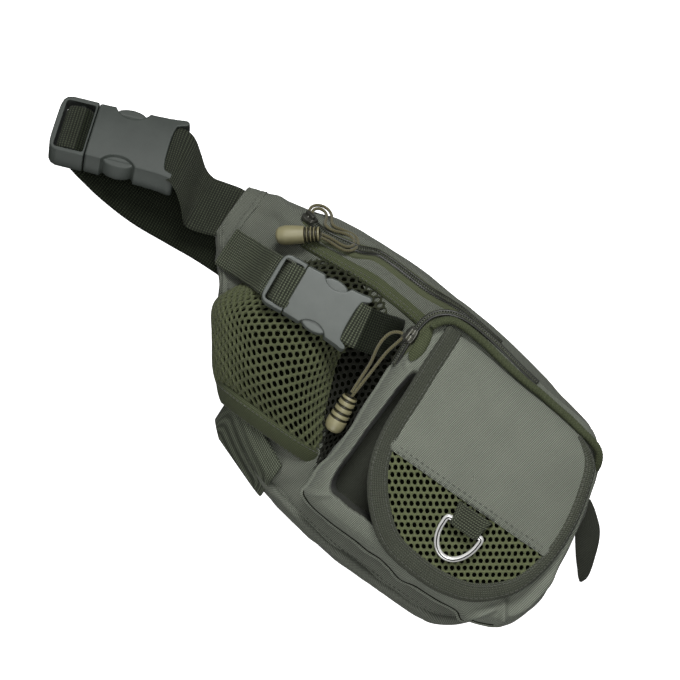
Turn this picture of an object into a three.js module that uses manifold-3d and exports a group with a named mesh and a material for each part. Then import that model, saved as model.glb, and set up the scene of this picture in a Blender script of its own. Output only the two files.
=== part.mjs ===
// Hip pack lying on its back: its front faces up (+Z), X runs along the pack to the pocket's end
// and Y towards the main zipper. Millimetres.
import * as THREE from "three";
import { mergeVertices } from "three/addons/utils/BufferGeometryUtils.js";
import Module from "manifold-3d";

const wasm = await Module();
wasm.setup();

// Driving dimensions
const CLOTH = 2; // wall of the coated cloth
const NET = 2.4; // wall of the spacer mesh
const WEB = 1.6; // thickness of all webbing
const GAP = 0.4; // clearance between pieces that touch
const BELT = 38; // width of the waist belt
const STRAP = 25; // width of the pouch's strap
const LOOP = 48; // width of the bottom loop
const PANEL = 6.3; // thickness of the back panel
const BASE = PANEL + 0.3; // where the main shell starts
const TUNNEL = { y: 8, width: 45, height: 3 }; // channel in the back panel for the belt
const CORD = 2; // diameter of the zip pulls' cords

// The main compartment along the pack: its lower and upper edge and the height of its front.
const BODY = rows(["x", "low", "high", "front"], [
  [-100, 9, 45, 15],
  [-86, -10, 51, 23],
  [-74, -25, 53.5, 33],
  [-58, -47, 57, 44],
  [-38, -70, 61.5, 51],
  [-20, -87, 64, 55],
  [16, -105.5, 65.5, 57],
  [46, -111, 63.5, 58],
  [77, -114.5, 60, 58],
  [110, -115, 56, 57],
  [139, -113.5, 49, 56],
  [155, -106, 46, 54],
  [167, -92, 39, 50],
  [179, -76, 18, 42],
  [189, -56, -4, 28],
]);
const LOWER_CORNER = { reach: 26, share: 0.2, power: 2.5 }; // rounding below the front
const UPPER_CORNER = { reach: 40, share: 0.26, power: 2.2 }; // slope that carries the zipper
const CROWN = 2.5; // how far the front bulges

// The main zipper's distance from the upper edge, seen from the front.
const MAIN_ZIP = rows(["x", "inset"], [
  [-62, 7],
  [-40, 14],
  [-24, 13.5],
  [-10, 9],
  [22, 10.5],
  [53, 6.5],
  [83, 6],
]);

// The mesh pouch's arches from its bottom edge to its mouth.
const POUCH = rows(["y", "left", "right", "top"], [
  [-74, -35, 24, 55],
  [-66, -43, 23.5, 62],
  [-56, -52, 22, 76],
  [-40, -63, 19, 85],
  [-24, -71, 14, 88],
  [-7, -66, 9, 82.5],
  [10, -60, 11, 79.5],
  [24, -54, 20, 71],
]);
const POUCH_FOOT = 20; // height where its arches spring, inside the main shell
const POUCH_POWER = 2.5;

// The front pocket's outline on the main shell, and how its wall closes in towards its front.
const POCKET_OUTLINE = rows(["x", "y"], [
  [34, 0],
  [33.5, 30],
  [38, 44],
  [52, 48.5],
  [90, 47.5],
  [130, 44.5],
  [156, 41],
  [168, 29],
  [178, 0],
  [184, -34],
  [186, -60],
  [180, -79],
  [165, -91],
  [140, -93.5],
  [100, -93.5],
  [60, -92],
  [42, -89],
  [35.5, -78],
  [35, -40],
]);
const POCKET_WALL = rows(["level", "share", "z"], [
  [0, 0.985, 26],
  [0.3, 1, 66],
  [0.5, 0.99, 78],
  [0.65, 0.965, 86],
  [0.8, 0.91, 92.5],
  [0.9, 0.78, 97],
  [1, 0.45, 101],
]);

// The flap's outline, and its crown above the pocket.
const FLAP_OUTLINE = rows(["x", "y"], [
  [46, 37],
  [60, 40.5],
  [100, 38.5],
  [148, 35],
  [162, 28],
  [168.5, 13],
  [174.5, -14],
  [174.5, -40],
  [168, -62],
  [151, -80],
  [132, -86],
  [110, -85.5],
  [88, -80],
  [69, -68],
  [55, -50],
  [48.5, -30],
  [44.5, 0],
  [43.5, 25],
]);
const FLAP = { edge: 101, crown: 111.5, power: 2.2, cloth: 2, seamY: -35, binding: 13, bindingWall: 3.6 };

const RING = { x: 120.5, y: -47, wire: 3, half: 12, height: 21.5, side: 4 };
const TAB = { wide: 23, narrow: 18.6, seamY: -36.5, wall: 1.2 };

// Colours from the pack's materials
const LOOKS = {
  cloth: look(0x6e7168, 0.85),
  net: look(0x4a4d2e, 0.9),
  tape: look(0x4b4f3a, 0.85),
  web: look(0x44483a, 0.9),
  plastic: look(0x5b605a, 0.45),
  metal: look(0xc9c9c6, 0.2, 1),
  cord: look(0x66613f, 0.9),
  cordEnd: look(0x8f8763, 0.6),
};

function rows(names, values) {
  return values.map((line) => Object.fromEntries(names.map((name, i) => [name, line[i]])));
}

function look(color, roughness, metalness = 0) {
  return new THREE.MeshStandardMaterial({ color, roughness, metalness });
}

function point(x, y, z) {
  return new THREE.Vector3(x, y, z);
}

// Numbers from first to last in equal steps.
function spread(first, last, steps) {
  return Array.from({ length: steps + 1 }, (_, i) => first + ((last - first) * i) / steps);
}

// A column's value at a place along a table's first column, smooth through its rows, with no overshoot.
function along(table, name, place) {
  const key = Object.keys(table[0])[0];
  const last = table.length - 1;
  const at = THREE.MathUtils.clamp(place, table[0][key], table[last][key]);
  const rise = (j) => (table[j + 1][name] - table[j][name]) / (table[j + 1][key] - table[j][key]);
  const slope = (j) => {
    if (j === 0) return rise(0);
    if (j === last) return rise(last - 1);
    const product = rise(j - 1) * rise(j);
    return product <= 0 ? 0 : (2 * product) / (rise(j - 1) + rise(j));
  };
  let i = 0;
  while (i < last - 1 && table[i + 1][key] < at) i += 1;
  const step = table[i + 1][key] - table[i][key];
  const t = (at - table[i][key]) / step;
  const near = table[i][name] + t * t * (3 - 2 * t) * (table[i + 1][name] - table[i][name]);
  const bend = slope(i) * t * (1 - t) * (1 - t) - slope(i + 1) * t * t * (1 - t);
  return near + bend * step;
}

// A solid from points and triangles that close on themselves, turned to face out.
function closed(points, faces) {
  const vertProperties = new Float32Array(points.flatMap((p) => [p.x, p.y, p.z]));
  const build = (list) =>
    new wasm.Manifold(
      new wasm.Mesh({ numProp: 3, vertProperties, triVerts: new Uint32Array(list.flat()) }),
    );
  const made = build(faces);
  return made.volume() > 0 ? made : build(faces.map(([a, b, c]) => [a, c, b]));
}

// A solid through rings of equal length, capped at its ends or joined into a loop.
function loft(rings, loop = false) {
  const n = rings[0].length;
  const m = rings.length;
  const points = rings.flat();
  const faces = [];
  for (let i = 0; i < (loop ? m : m - 1); i += 1) {
    for (let j = 0; j < n; j += 1) {
      const next = ((i + 1) % m) * n;
      const k = (j + 1) % n;
      faces.push([i * n + j, i * n + k, next + k], [i * n + j, next + k, next + j]);
    }
  }
  if (loop) return closed(points, faces);
  const cap = (ring, start, order) => {
    const middle = ring.reduce((sum, p) => sum.add(p), point(0, 0, 0)).divideScalar(n);
    const centre = points.push(middle) - 1;
    for (let j = 0; j < n; j += 1) {
      const pair = [start + j, start + ((j + 1) % n)];
      faces.push([centre, pair[order], pair[1 - order]]);
    }
  };
  cap(rings[0], 0, 1);
  cap(rings[m - 1], (m - 1) * n, 0);
  return closed(points, faces);
}

// A sheet between two grids of points.
function slab(outer, inner) {
  const m = outer.length;
  const n = outer[0].length;
  const points = [...outer.flat(), ...inner.flat()];
  const o = (i, j) => i * n + j;
  const s = (i, j) => m * n + i * n + j;
  const faces = [];
  const quad = (a, b, c, d) => faces.push([a, b, c], [a, c, d]);
  for (let i = 0; i < m - 1; i += 1) {
    for (let j = 0; j < n - 1; j += 1) {
      quad(o(i, j), o(i + 1, j), o(i + 1, j + 1), o(i, j + 1));
      quad(s(i, j), s(i, j + 1), s(i + 1, j + 1), s(i + 1, j));
    }
    quad(o(i, 0), s(i, 0), s(i + 1, 0), o(i + 1, 0));
    quad(o(i, n - 1), o(i + 1, n - 1), s(i + 1, n - 1), s(i, n - 1));
  }
  for (let j = 0; j < n - 1; j += 1) {
    quad(o(0, j), o(0, j + 1), s(0, j + 1), s(0, j));
    quad(o(m - 1, j), s(m - 1, j), s(m - 1, j + 1), o(m - 1, j + 1));
  }
  return closed(points, faces);
}

// A sheet that lies on a surface, between two heights above it.
function patch(surface, us, vs, from, to) {
  const step = 1e-3;
  const lifted = (u, v, height) => {
    const du = surface(u + step, v).sub(surface(u - step, v));
    const dv = surface(u, v + step).sub(surface(u, v - step));
    const normal = du.cross(dv).normalize();
    return surface(u, v).addScaledVector(normal, height);
  };
  const grid = (height) =>
    us.map((u, i) => vs.map((v, j) => lifted(u, v, typeof height === "number" ? height : height(i, j))));
  return slab(grid(to), grid(from));
}

// A round bar along points, with one radius or a radius for each point.
function tube(path, radius, sides, loop = false) {
  const count = path.length;
  const at = (i) => path[loop ? (i + count) % count : THREE.MathUtils.clamp(i, 0, count - 1)];
  let across = null;
  const rings = path.map((centre, i) => {
    const ahead = at(i + 1).clone().sub(at(i - 1)).normalize();
    const guess = across ?? (Math.abs(ahead.z) < 0.9 ? point(0, 0, 1) : point(0, 1, 0));
    across = guess.clone().addScaledVector(ahead, -guess.dot(ahead)).normalize();
    const side = ahead.clone().cross(across);
    const size = typeof radius === "number" ? radius : radius[i];
    return spread(0, 2 * Math.PI, sides)
      .slice(0, -1)
      .map((a) =>
        centre.clone().addScaledVector(across, size * Math.cos(a)).addScaledVector(side, size * Math.sin(a)),
      );
  });
  return loft(rings, loop);
}

// Points along a smooth curve through a table of places.
function curve(table, steps) {
  const places = table.map((row) => point(row.x, row.y, row.z ?? 0));
  return new THREE.CatmullRomCurve3(places, false, "centripetal").getSpacedPoints(steps);
}

// Webbing along a table of places; turn swings its width away from Y, and tip leans it.
function ribbon(table, width, steps, wall = WEB) {
  const places = table.map((row) => point(row.x, row.y, row.z));
  const path = new THREE.CatmullRomCurve3(places, false, "centripetal");
  const order = table.map((row, i) => ({ i, turn: row.turn ?? 0, tip: row.tip ?? 0 }));
  const grid = (side) =>
    spread(0, 1, steps).map((t) => {
      const turn = THREE.MathUtils.degToRad(along(order, "turn", t * (table.length - 1)));
      const tip = THREE.MathUtils.degToRad(along(order, "tip", t * (table.length - 1)));
      const ahead = path.getTangent(t);
      const wanted = point(-Math.sin(turn) * Math.cos(tip), Math.cos(turn) * Math.cos(tip), Math.sin(tip));
      const across = wanted.addScaledVector(ahead, -wanted.dot(ahead)).normalize();
      const normal = ahead.clone().cross(across);
      const middle = path.getPoint(t).addScaledVector(normal, (side * wall) / 2);
      return [-0.5, 0.5].map((k) => middle.clone().addScaledVector(across, k * width));
    });
  return slab(grid(1), grid(-1));
}

function box(x, y, z, centre) {
  return plain(new THREE.BoxGeometry(x, y, z).translate(centre.x, centre.y, centre.z));
}

// A solid from one of three's closed geometries.
function plain(geometry) {
  geometry.deleteAttribute("normal");
  geometry.deleteAttribute("uv");
  const merged = mergeVertices(geometry, 1e-3);
  const triVerts = new Uint32Array(merged.index.array);
  return new wasm.Manifold(
    new wasm.Mesh({ numProp: 3, vertProperties: merged.attributes.position.array, triVerts }),
  );
}

function mesh(name, solid, material) {
  const data = solid.getMesh();
  const geometry = new THREE.BufferGeometry();
  geometry.setAttribute("position", new THREE.BufferAttribute(new Float32Array(data.vertProperties), 3));
  geometry.setIndex(new THREE.BufferAttribute(new Uint32Array(data.triVerts), 1));
  geometry.computeVertexNormals();
  const made = new THREE.Mesh(geometry, material);
  made.name = name;
  return made;
}

// Main compartment

// The reach of the two rounded corners at a place along the pack.
function corners(x, grow) {
  const low = along(BODY, "low", x) - grow;
  const high = along(BODY, "high", x) + grow;
  const width = high - low;
  return {
    low,
    high,
    front: along(BODY, "front", x) + grow,
    lower: Math.min(LOWER_CORNER.reach, LOWER_CORNER.share * width),
    upper: Math.min(UPPER_CORNER.reach, UPPER_CORNER.share * width),
  };
}

// The outer surface; turn runs from 0 at the lower edge to 1 at the upper edge.
function bodyPoint(x, turn, grow = 0, base = BASE) {
  const c = corners(x, grow);
  const lean = (share, power) => {
    const a = (THREE.MathUtils.clamp(share, 0, 1) * Math.PI) / 2;
    return { out: Math.cos(a) ** (2 / power), up: Math.sin(a) ** (2 / power) };
  };
  if (turn < 0.4) {
    const at = lean(turn / 0.4, LOWER_CORNER.power);
    return point(x, c.low + c.lower * (1 - at.out), base + (c.front - base) * at.up);
  }
  if (turn > 0.6) {
    const at = lean((1 - turn) / 0.4, UPPER_CORNER.power);
    return point(x, c.high - c.upper * (1 - at.out), base + (c.front - base) * at.up);
  }
  const t = (turn - 0.4) / 0.2;
  const y = THREE.MathUtils.lerp(c.low + c.lower, c.high - c.upper, t);
  return point(x, y, c.front + CROWN * Math.sin(Math.PI * t));
}

// The turn of the point on the upper corner that lies a distance inside the upper edge.
function upperTurn(x, inset) {
  const c = corners(x, 0);
  const out = (1 - inset / c.upper) ** (UPPER_CORNER.power / 2);
  return 1 - (0.4 * Math.acos(out)) / (Math.PI / 2);
}

// The surface's height under a place seen from the front.
function bodyHeight(x, y, grow = 0) {
  const c = corners(x, grow);
  const rise = (share, power) => (1 - (1 - share) ** power) ** (1 / power);
  const fromLow = (y - c.low) / c.lower;
  const fromHigh = (c.high - y) / c.upper;
  if (fromLow < 1) return BASE + (c.front - BASE) * rise(Math.max(fromLow, 0), LOWER_CORNER.power);
  if (fromHigh < 1) return BASE + (c.front - BASE) * rise(Math.max(fromHigh, 0), UPPER_CORNER.power);
  const t = (y - c.low - c.lower) / (c.high - c.upper - c.low - c.lower);
  return c.front + CROWN * Math.sin(Math.PI * t);
}

function bodySolid(grow, first, last, base = BASE) {
  const turns = [...spread(0, 0.4, 5), ...spread(0.45, 0.55, 2), ...spread(0.6, 1, 6)];
  const between = BODY.map((row) => row.x).filter((x) => x > first + 1 && x < last - 1);
  const stations = [first, ...between, last];
  return loft(stations.map((x) => turns.map((turn) => bodyPoint(x, turn, grow, base))));
}

const bodyEnds = { left: BODY[0].x, right: BODY[BODY.length - 1].x };
const bodyCutter = bodySolid(GAP, bodyEnds.left - GAP, bodyEnds.right + GAP);

function mainZipSurface(x, across) {
  return bodyPoint(x, upperTurn(x, along(MAIN_ZIP, "inset", x)) + across);
}

// A zipper's tape with its coil as a ridge along the middle.
function zipper(surface, us, half, side) {
  const vs = [-1, -0.3, -0.22, 0.22, 0.3, 1].map((share) => share * half);
  const foot = 2 * GAP;
  const top = [0.9, 0.9, 1.7, 1.7, 0.9, 0.9];
  return patch(surface, us, vs, side * foot, (i, j) => side * (foot + top[j]));
}

function mainShell() {
  const inner = bodySolid(-CLOTH, bodyEnds.left + 24, bodyEnds.right - 12, BASE - 4);
  const slot = patch(mainZipSurface, spread(-56, 78, 14), [-0.022, 0.022], -6, 6);
  return bodySolid(0, bodyEnds.left, bodyEnds.right).subtract(inner).subtract(slot);
}

function mainZipper() {
  return zipper(mainZipSurface, spread(-60, 82, 22), 0.062, 1);
}

// A padded plate under the main shell, with a channel for the belt.
function backPanel() {
  const outline = (inset) => {
    const stations = BODY.map((row) => row.x);
    const ends = THREE.MathUtils.clamp;
    const x = (value) => ends(value, bodyEnds.left + inset, bodyEnds.right - inset);
    const lower = stations.map((s) => [x(s), along(BODY, "low", s) + inset]);
    const upper = stations.map((s) => [x(s), along(BODY, "high", s) - inset]).reverse();
    return [...lower, ...upper];
  };
  const layers = rows(["z", "inset"], [
    [0, 5],
    [1.6, 2.6],
    [4.6, 1.4],
    [PANEL, 2.4],
  ]);
  const plate = loft(layers.map(({ z, inset }) => outline(inset).map(([x, y]) => point(x, y, z))));
  const channel = box(400, TUNNEL.width, 2 * TUNNEL.height, point(40, TUNNEL.y, 0));
  return plate.subtract(channel);
}

// The wing at the pocket's end, which bends down to the floor.
function rightWing() {
  const spine = rows(["x", "y", "z", "half"], [
    [185, -6.5, 19, 19],
    [191.5, -8, 19, 19],
    [196, -10, 19, 18],
    [200.5, -13, 17, 17],
    [203.5, -16, 13, 16],
    [205, -19, 8, 14],
    [204.5, -21, 4.5, 10],
  ]);
  const thick = 4.5;
  const lean = point(0.42, -0.9, 0);
  const grid = (side) =>
    spine.map((row, i) => {
      const before = spine[Math.max(i - 1, 0)];
      const after = spine[Math.min(i + 1, spine.length - 1)];
      const ahead = point(after.x - before.x, after.y - before.y, after.z - before.z).normalize();
      const normal = lean.clone().cross(ahead).normalize();
      return spread(-1, 1, 6).map((k) => {
        const rounded = side * thick * 0.5 * Math.sqrt(1 - 0.75 * k * k);
        const middle = point(row.x, row.y, row.z).addScaledVector(lean, k * row.half);
        return middle.addScaledVector(normal, rounded);
      });
    });
  return slab(grid(1), grid(-1));
}

// Mesh pouch

// An arch's point; a runs from 0 at its left foot to 1 at its right foot.
function pouchPoint(y, a, grow = 0) {
  const left = along(POUCH, "left", y) - grow;
  const right = along(POUCH, "right", y) + grow;
  const top = along(POUCH, "top", y) + grow;
  const angle = Math.PI * THREE.MathUtils.clamp(a, 0, 1);
  const out = Math.sign(Math.cos(angle)) * Math.abs(Math.cos(angle)) ** (2 / POUCH_POWER);
  const up = Math.max(Math.sin(angle), 0) ** (2 / POUCH_POWER);
  return point((left + right) / 2 - (out * (right - left)) / 2, y, POUCH_FOOT + (top - POUCH_FOOT) * up);
}

function pouchWall(ys, from, to) {
  const as = spread(0, 1, 16);
  const grid = (grow) => ys.map((y) => as.map((a) => pouchPoint(y, a, grow)));
  return slab(grid(to), grid(from));
}

const loopSurface = (turn, x) => bodyPoint(x, turn);
const loopTurns = spread(0.02, 0.36, 8);

function bottomLoop(from, to, margin) {
  const middle = -10;
  const xs = spread(middle - LOOP / 2 - margin, middle + LOOP / 2 + margin, 6);
  const stands = (i) => 1.6 * Math.sin((Math.PI * i) / (loopTurns.length - 1));
  return patch(loopSurface, loopTurns, xs, (i) => -from - stands(i), (i) => -to - stands(i));
}

const loopCutter = bottomLoop(-1, 2.4, 0.5);

// The binding along the main shell above the pouch's mouth.
function pouchTopBinding() {
  const surface = (x, y) => point(x, y, bodyHeight(x, y));
  const grid = (height) =>
    spread(-54, 31.5, 12).map((x) => spread(28, 38.5, 3).map((y) => surface(x, y).add(point(0, 0, height))));
  return slab(grid(2.4), grid(GAP));
}

const strapLeft = rows(["x", "y", "z", "turn"], [
  [-91, 7, 23.4, 4],
  [-84, 7, 28.4, 4],
  [-76, 7.5, 36.8, 4],
  [-68, 7.5, 51, 4],
  [-62, 8, 66, 4],
  [-57.5, 8, 77, 4],
  [-53.5, 8, 79.9, 4.8],
  [-50.6, 8.2, 82.1, 4.8],
  [-48.4, 8.4, 86.1, 4.8],
  [-46.6, 8.5, 89.1, 4.8],
  [-44.6, 8.8, 90.1, 4.8],
]);
const strapRight = rows(["x", "y", "z", "turn"], [
  [-3.4, 12, 85.5, 4.8],
  [-2.4, 12.1, 88.3, 4.8],
  [0.3, 12.4, 90.1, 4.8],
  [4, 12.8, 89.7, 5],
  [10, 14, 87.5, 7],
  [17, 16, 82, 9],
  [22.5, 18, 74, 11],
  [26, 19, 66.5, 12],
  [28, 19.6, 60.2, 12],
]);

// Front pocket and flap

function outlineCurve(table) {
  const places = table.map((row) => point(row.x, row.y, 0));
  return new THREE.CatmullRomCurve3(places, true, "centripetal");
}

function middleOf(table) {
  const sum = table.reduce((total, row) => total.add(point(row.x, row.y, 0)), point(0, 0, 0));
  return sum.divideScalar(table.length);
}

const pocketCurve = outlineCurve(POCKET_OUTLINE);
const pocketMiddle = point(110, -20, 0);
const flapCurve = outlineCurve(FLAP_OUTLINE);
const flapMiddle = middleOf(FLAP_OUTLINE);

// The pocket's wall; k runs round its outline and level from the main shell to its front.
function pocketPoint(k, level, inset = 0) {
  const turn = ((k % 1) + 1) % 1;
  const edge = pocketCurve.getPoint(turn);
  const ahead = pocketCurve.getTangent(turn);
  edge.add(point(-ahead.y, ahead.x, 0).multiplyScalar(-inset));
  const share = along(POCKET_WALL, "share", level);
  const at = pocketMiddle.clone().lerp(edge, share);
  return at.setZ(along(POCKET_WALL, "z", level) - inset);
}

function pocketSolid(inset, lowest) {
  const ks = spread(0, 1, 34).slice(0, -1);
  const levels = [lowest, 0.3, 0.45, 0.6, 0.72, 0.82, 0.92, 1];
  return loft(levels.map((level) => ks.map((k) => pocketPoint(k, level, inset))));
}

const zipStart = 0.5 / POCKET_OUTLINE.length;
const zipEnd = 7.1 / POCKET_OUTLINE.length;
const pocketZipSurface = (k, level) => pocketPoint(k, 0.6 + level);

function pocketBox() {
  const slot = patch(pocketZipSurface, spread(zipStart + 0.02, zipEnd - 0.02, 16), [-0.03, 0.03], -6, 6);
  return pocketSolid(0, 0).subtract(pocketSolid(CLOTH, -0.05)).subtract(bodyCutter).subtract(slot);
}

function pocketZipper() {
  return zipper(pocketZipSurface, spread(zipStart, zipEnd, 30), 0.1, -1);
}

function pocketPiping() {
  const ks = spread(zipStart + 0.01, zipEnd - 0.02, 30);
  const radius = 2.2;
  const path = ks.map((k) => {
    const at = pocketPoint(k, 0.79);
    const out = pocketPoint(k, 0.79).sub(pocketMiddle).setZ(0).normalize();
    return at.addScaledVector(out, 0.9).add(point(0, 0, radius + GAP + 0.5));
  });
  return tube(path, radius, 8);
}

function flapHeight(share) {
  return FLAP.edge + (FLAP.crown - FLAP.edge) * (1 - Math.min(share, 1) ** FLAP.power);
}

// A point of the flap, a share of the way from its middle to its outline, brought in by an inset.
function flapPoint(k, share, inset = 0) {
  const turn = ((k % 1) + 1) % 1;
  const ahead = flapCurve.getTangent(turn);
  const edge = flapCurve.getPoint(turn).add(point(ahead.y, -ahead.x, 0).multiplyScalar(inset));
  const at = flapMiddle.clone().lerp(edge, share);
  const reach = flapCurve.getPoint(turn).distanceTo(flapMiddle);
  return at.setZ(flapHeight(at.distanceTo(flapMiddle) / reach));
}

// The flap's height under a place seen from the front.
function flapZ(x, y) {
  const angle = Math.atan2(y - flapMiddle.y, x - flapMiddle.x);
  const edges = spread(0, 1, 240).map((k) => flapCurve.getPoint(k % 1).sub(flapMiddle));
  const towards = point(Math.cos(angle), Math.sin(angle), 0);
  const nearness = (p) => p.clone().normalize().dot(towards);
  const edge = edges.reduce((best, p) => (nearness(p) > nearness(best) ? p : best));
  return flapHeight(Math.hypot(x - flapMiddle.x, y - flapMiddle.y) / edge.length());
}

// The flap's plate inside its binding, as one dome.
function flapDome(inset, lower, upper) {
  const ks = spread(0, 1, 40).slice(0, -1);
  const ring = (share, height) => ks.map((k) => flapPoint(k, share, inset).add(point(0, 0, height)));
  const shares = [0.3, 0.6, 0.85, 1];
  const under = shares.map((share) => ring(share, lower));
  const over = shares.map((share) => ring(share, upper)).reverse();
  return loft([...under, ...over]);
}

// The binding runs round the flap's sides and tip, and is open along its top.
function flapBinding() {
  const half = FLAP.bindingWall / 2;
  const section = rows(["inset", "height"], [
    [0, 0],
    [1.2, half],
    [FLAP.binding, half],
    [FLAP.binding, -half],
    [1.2, -half],
  ]);
  const ks = spread(4.05, 17.15, 34).map((row) => row / FLAP_OUTLINE.length);
  return loft(ks.map((k) => section.map((at) => flapPoint(k, 1, at.inset).add(point(0, 0, at.height)))));
}

// One half of the flap's plate: cloth above its seam, mesh below.
function flapHalf(above) {
  const dome = flapDome(FLAP.binding + GAP, -FLAP.cloth / 2, FLAP.cloth / 2);
  const depth = 200;
  const shift = above ? depth / 2 + GAP / 2 : -depth / 2 - GAP / 2;
  return dome.intersect(box(300, depth, 60, point(flapMiddle.x, FLAP.seamY + shift, FLAP.edge + 5)));
}

// The cloth of the flap also fills its top, where the binding is open.
function flapCloth() {
  const whole = flapDome(0, -FLAP.cloth / 2, FLAP.cloth / 2);
  const top = whole.intersect(box(111, 60, 60, point(105, 58.4, FLAP.edge)));
  return flapHalf(true).add(top);
}

// D-ring and its tab

const ringPlane = flapZ(RING.x, RING.y) + FLAP.cloth / 2 + GAP + RING.wire / 2 + TAB.wall;
const ringTip = flapZ(RING.x, RING.y - RING.height) + FLAP.cloth / 2 + GAP + RING.wire / 2;
const ringFall = Math.asin((ringPlane - ringTip) / RING.height);

function dRing() {
  const arc = spread(0, Math.PI, 14).map((a) =>
    point(RING.half * Math.cos(a), -RING.side - (RING.height - RING.side) * Math.sin(a), 0),
  );
  const bar = [point(-RING.half, -1.6, 0), point(-RING.half + 1.4, 0, 0), point(RING.half - 1.4, 0, 0)];
  return tube([...arc, ...bar, point(RING.half, -1.6, 0)], RING.wire / 2, 8, true);
}

// Webbing folded round the ring's bar, both ends sewn at the flap's seam.
function ringTab() {
  const around = RING.wire / 2 + GAP + TAB.wall / 2;
  const bend = spread(Math.PI * 0.62, -Math.PI * 0.62, 9).map((a) => ({
    y: RING.y - around * Math.cos(a),
    z: ringPlane + around * Math.sin(a),
    width: TAB.narrow,
  }));
  const seam = flapZ(RING.x, TAB.seamY) + FLAP.cloth / 2;
  const layers = [
    { y: TAB.seamY, z: seam + GAP + TAB.wall * 1.5 + 0.3, width: TAB.wide },
    ...bend,
    { y: TAB.seamY, z: seam + GAP + TAB.wall / 2, width: TAB.wide },
  ];
  const grid = (side) =>
    layers.map((row, i) => {
      const before = layers[Math.max(i - 1, 0)];
      const after = layers[Math.min(i + 1, layers.length - 1)];
      const run = new THREE.Vector2(after.y - before.y, after.z - before.z).normalize();
      const y = row.y + (-run.y * side * TAB.wall) / 2;
      const z = row.z + (run.x * side * TAB.wall) / 2;
      return [-0.5, 0.5].map((k) => point(RING.x - 0.6 + k * row.width, y, z));
    });
  return slab(grid(1), grid(-1));
}

// Buckles

// A plate with a bevelled rim, from 0 to its depth.
function extruded(outline, depth, bevel) {
  const shape = new THREE.Shape(outline.map(([a, b]) => new THREE.Vector2(a, b)));
  const rim = { bevelSize: bevel, bevelThickness: bevel, bevelOffset: -bevel, bevelSegments: 1 };
  const options = { depth: depth - 2 * bevel, steps: 1, ...rim };
  return plain(new THREE.ExtrudeGeometry(shape, options).translate(0, 0, bevel));
}

const mirrored = (half) => [...half, ...half.map(([a, b]) => [a, -b]).reverse()];

// The socket half: a hollow body with a window for each prong and a notch with a bar for its webbing.
function buckleSocket() {
  const half = [
    [-9, 21],
    [-7, 22.6],
    [20, 22.8],
    [25, 22],
    [31, 22.6],
    [36, 24],
    [38.5, 23],
    [38, 19.6],
    [26, 19.6],
  ];
  const body = extruded(mirrored(half), 12, 0.9);
  const mouth = box(28, 33.8, 6, point(4.5, 0, 6));
  const window = (side) =>
    plain(
      new THREE.CylinderGeometry(9, 9, 30, 20)
        .rotateX(Math.PI / 2)
        .scale(1.06, 1, 1)
        .translate(9, side * 23, 6),
    );
  const bar = plain(new THREE.CylinderGeometry(2, 2, 40.5, 10).translate(32, 0, 5));
  return body.subtract(mouth).subtract(window(1)).subtract(window(-1)).add(bar);
}

// The plug half: a frame for its webbing and two sprung prongs.
function bucklePlug() {
  const frame = mirrored([
    [-36, 21],
    [-34, 22.8],
    [-20, 22],
    [-12, 20.5],
    [-9.5, 18],
  ]);
  const slot = box(11.5, 39, 30, point(-27.2, 0, 5));
  const prong = [
    [-11, 9],
    [12.5, 9],
    [15.5, 13],
    [15, 17.5],
    [10, 20.3],
    [5.5, 20.3],
    [3, 16],
    [0, 14],
    [-11, 14],
  ];
  const arm = (side) =>
    plain(
      new THREE.ExtrudeGeometry(
        new THREE.Shape(prong.map(([a, b]) => new THREE.Vector2(a, side * b))),
        { depth: 4.6, bevelEnabled: false },
      ).translate(0, 0, 3.7),
    );
  return extruded(frame, 10.4, 1).subtract(slot).add(arm(1)).add(arm(-1));
}

function buckle(name, { place, angle, roll, size }) {
  const group = new THREE.Group();
  const radians = THREE.MathUtils.degToRad;
  group.position.copy(place);
  group.rotation.set(radians(roll), 0, radians(angle), "ZXY");
  group.scale.copy(size);
  group.add(mesh(name + "_socket", buckleSocket(), LOOKS.plastic));
  group.add(mesh(name + "_plug", bucklePlug(), LOOKS.plastic));
  return group;
}

const BELT_BUCKLE = { place: point(-187, 17.5, 10.6), angle: 21.4, roll: -25, size: point(1, 1, 1) };
const STRAP_BUCKLE = { place: point(-25.5, 10.4, 82.9), angle: 4.8, roll: 0, size: point(0.8, 0.72, 0.75) };

// The belt from the left wing over the buckle's bar.
const beltFront = rows(["x", "y", "z", "turn", "tip"], [
  [-99.5, 26.7, 11.4, 0, -8],
  [-108, 23.5, 11.4, 0, -18],
  [-118, 21.7, 13, 0, -32],
  [-128, 26, 16.2, 5, -46],
  [-136.4, 32.2, 18.6, 13, -42],
  [-143, 35.6, 19.6, 20, -30],
  [-149.5, 36.8, 20, 21.4, -25],
  [-155, 34.5, 19.5, 21.4, -25],
  [-158.5, 32.5, 18.3, 21.4, -25],
  [-160.6, 31, 16.8, 21.4, -25],
  [-161, 29.4, 13.9, 21.4, -25],
]);

// The belt from under the right wing, along the floor and up through the plug's frame.
const beltBack = rows(["x", "y", "z", "turn", "tip"], [
  [172, 8, 1.1, 0, 0],
  [150, 8, 1.1, 0, 0],
  [40, 8, 1.1, 0, 0],
  [-100, 8, 1.1, 0, 0],
  [-125, 6, 1.1, 0, 0],
  [-150, 4, 1.8, 0, 0],
  [-172, 5, 4.4, 6, -6],
  [-190, 7, 8, 14, -16],
  [-202, 8.3, 9.5, 19, -23],
  [-210.8, 7.8, 10, 21.4, -25],
  [-215, 6.9, 11.6, 21.4, -25],
  [-216.9, 7.7, 14.4, 21.4, -25],
  [-217.1, 9.4, 18, 21.4, -25],
  [-215.7, 11.1, 20.3, 21.4, -25],
  [-213.7, 12.3, 21.1, 21.4, -25],
  [-211.5, 12.6, 20.1, 21.4, -25],
  [-209.9, 11.8, 17.1, 21.4, -25],
]);

// Zip pulls

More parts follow.
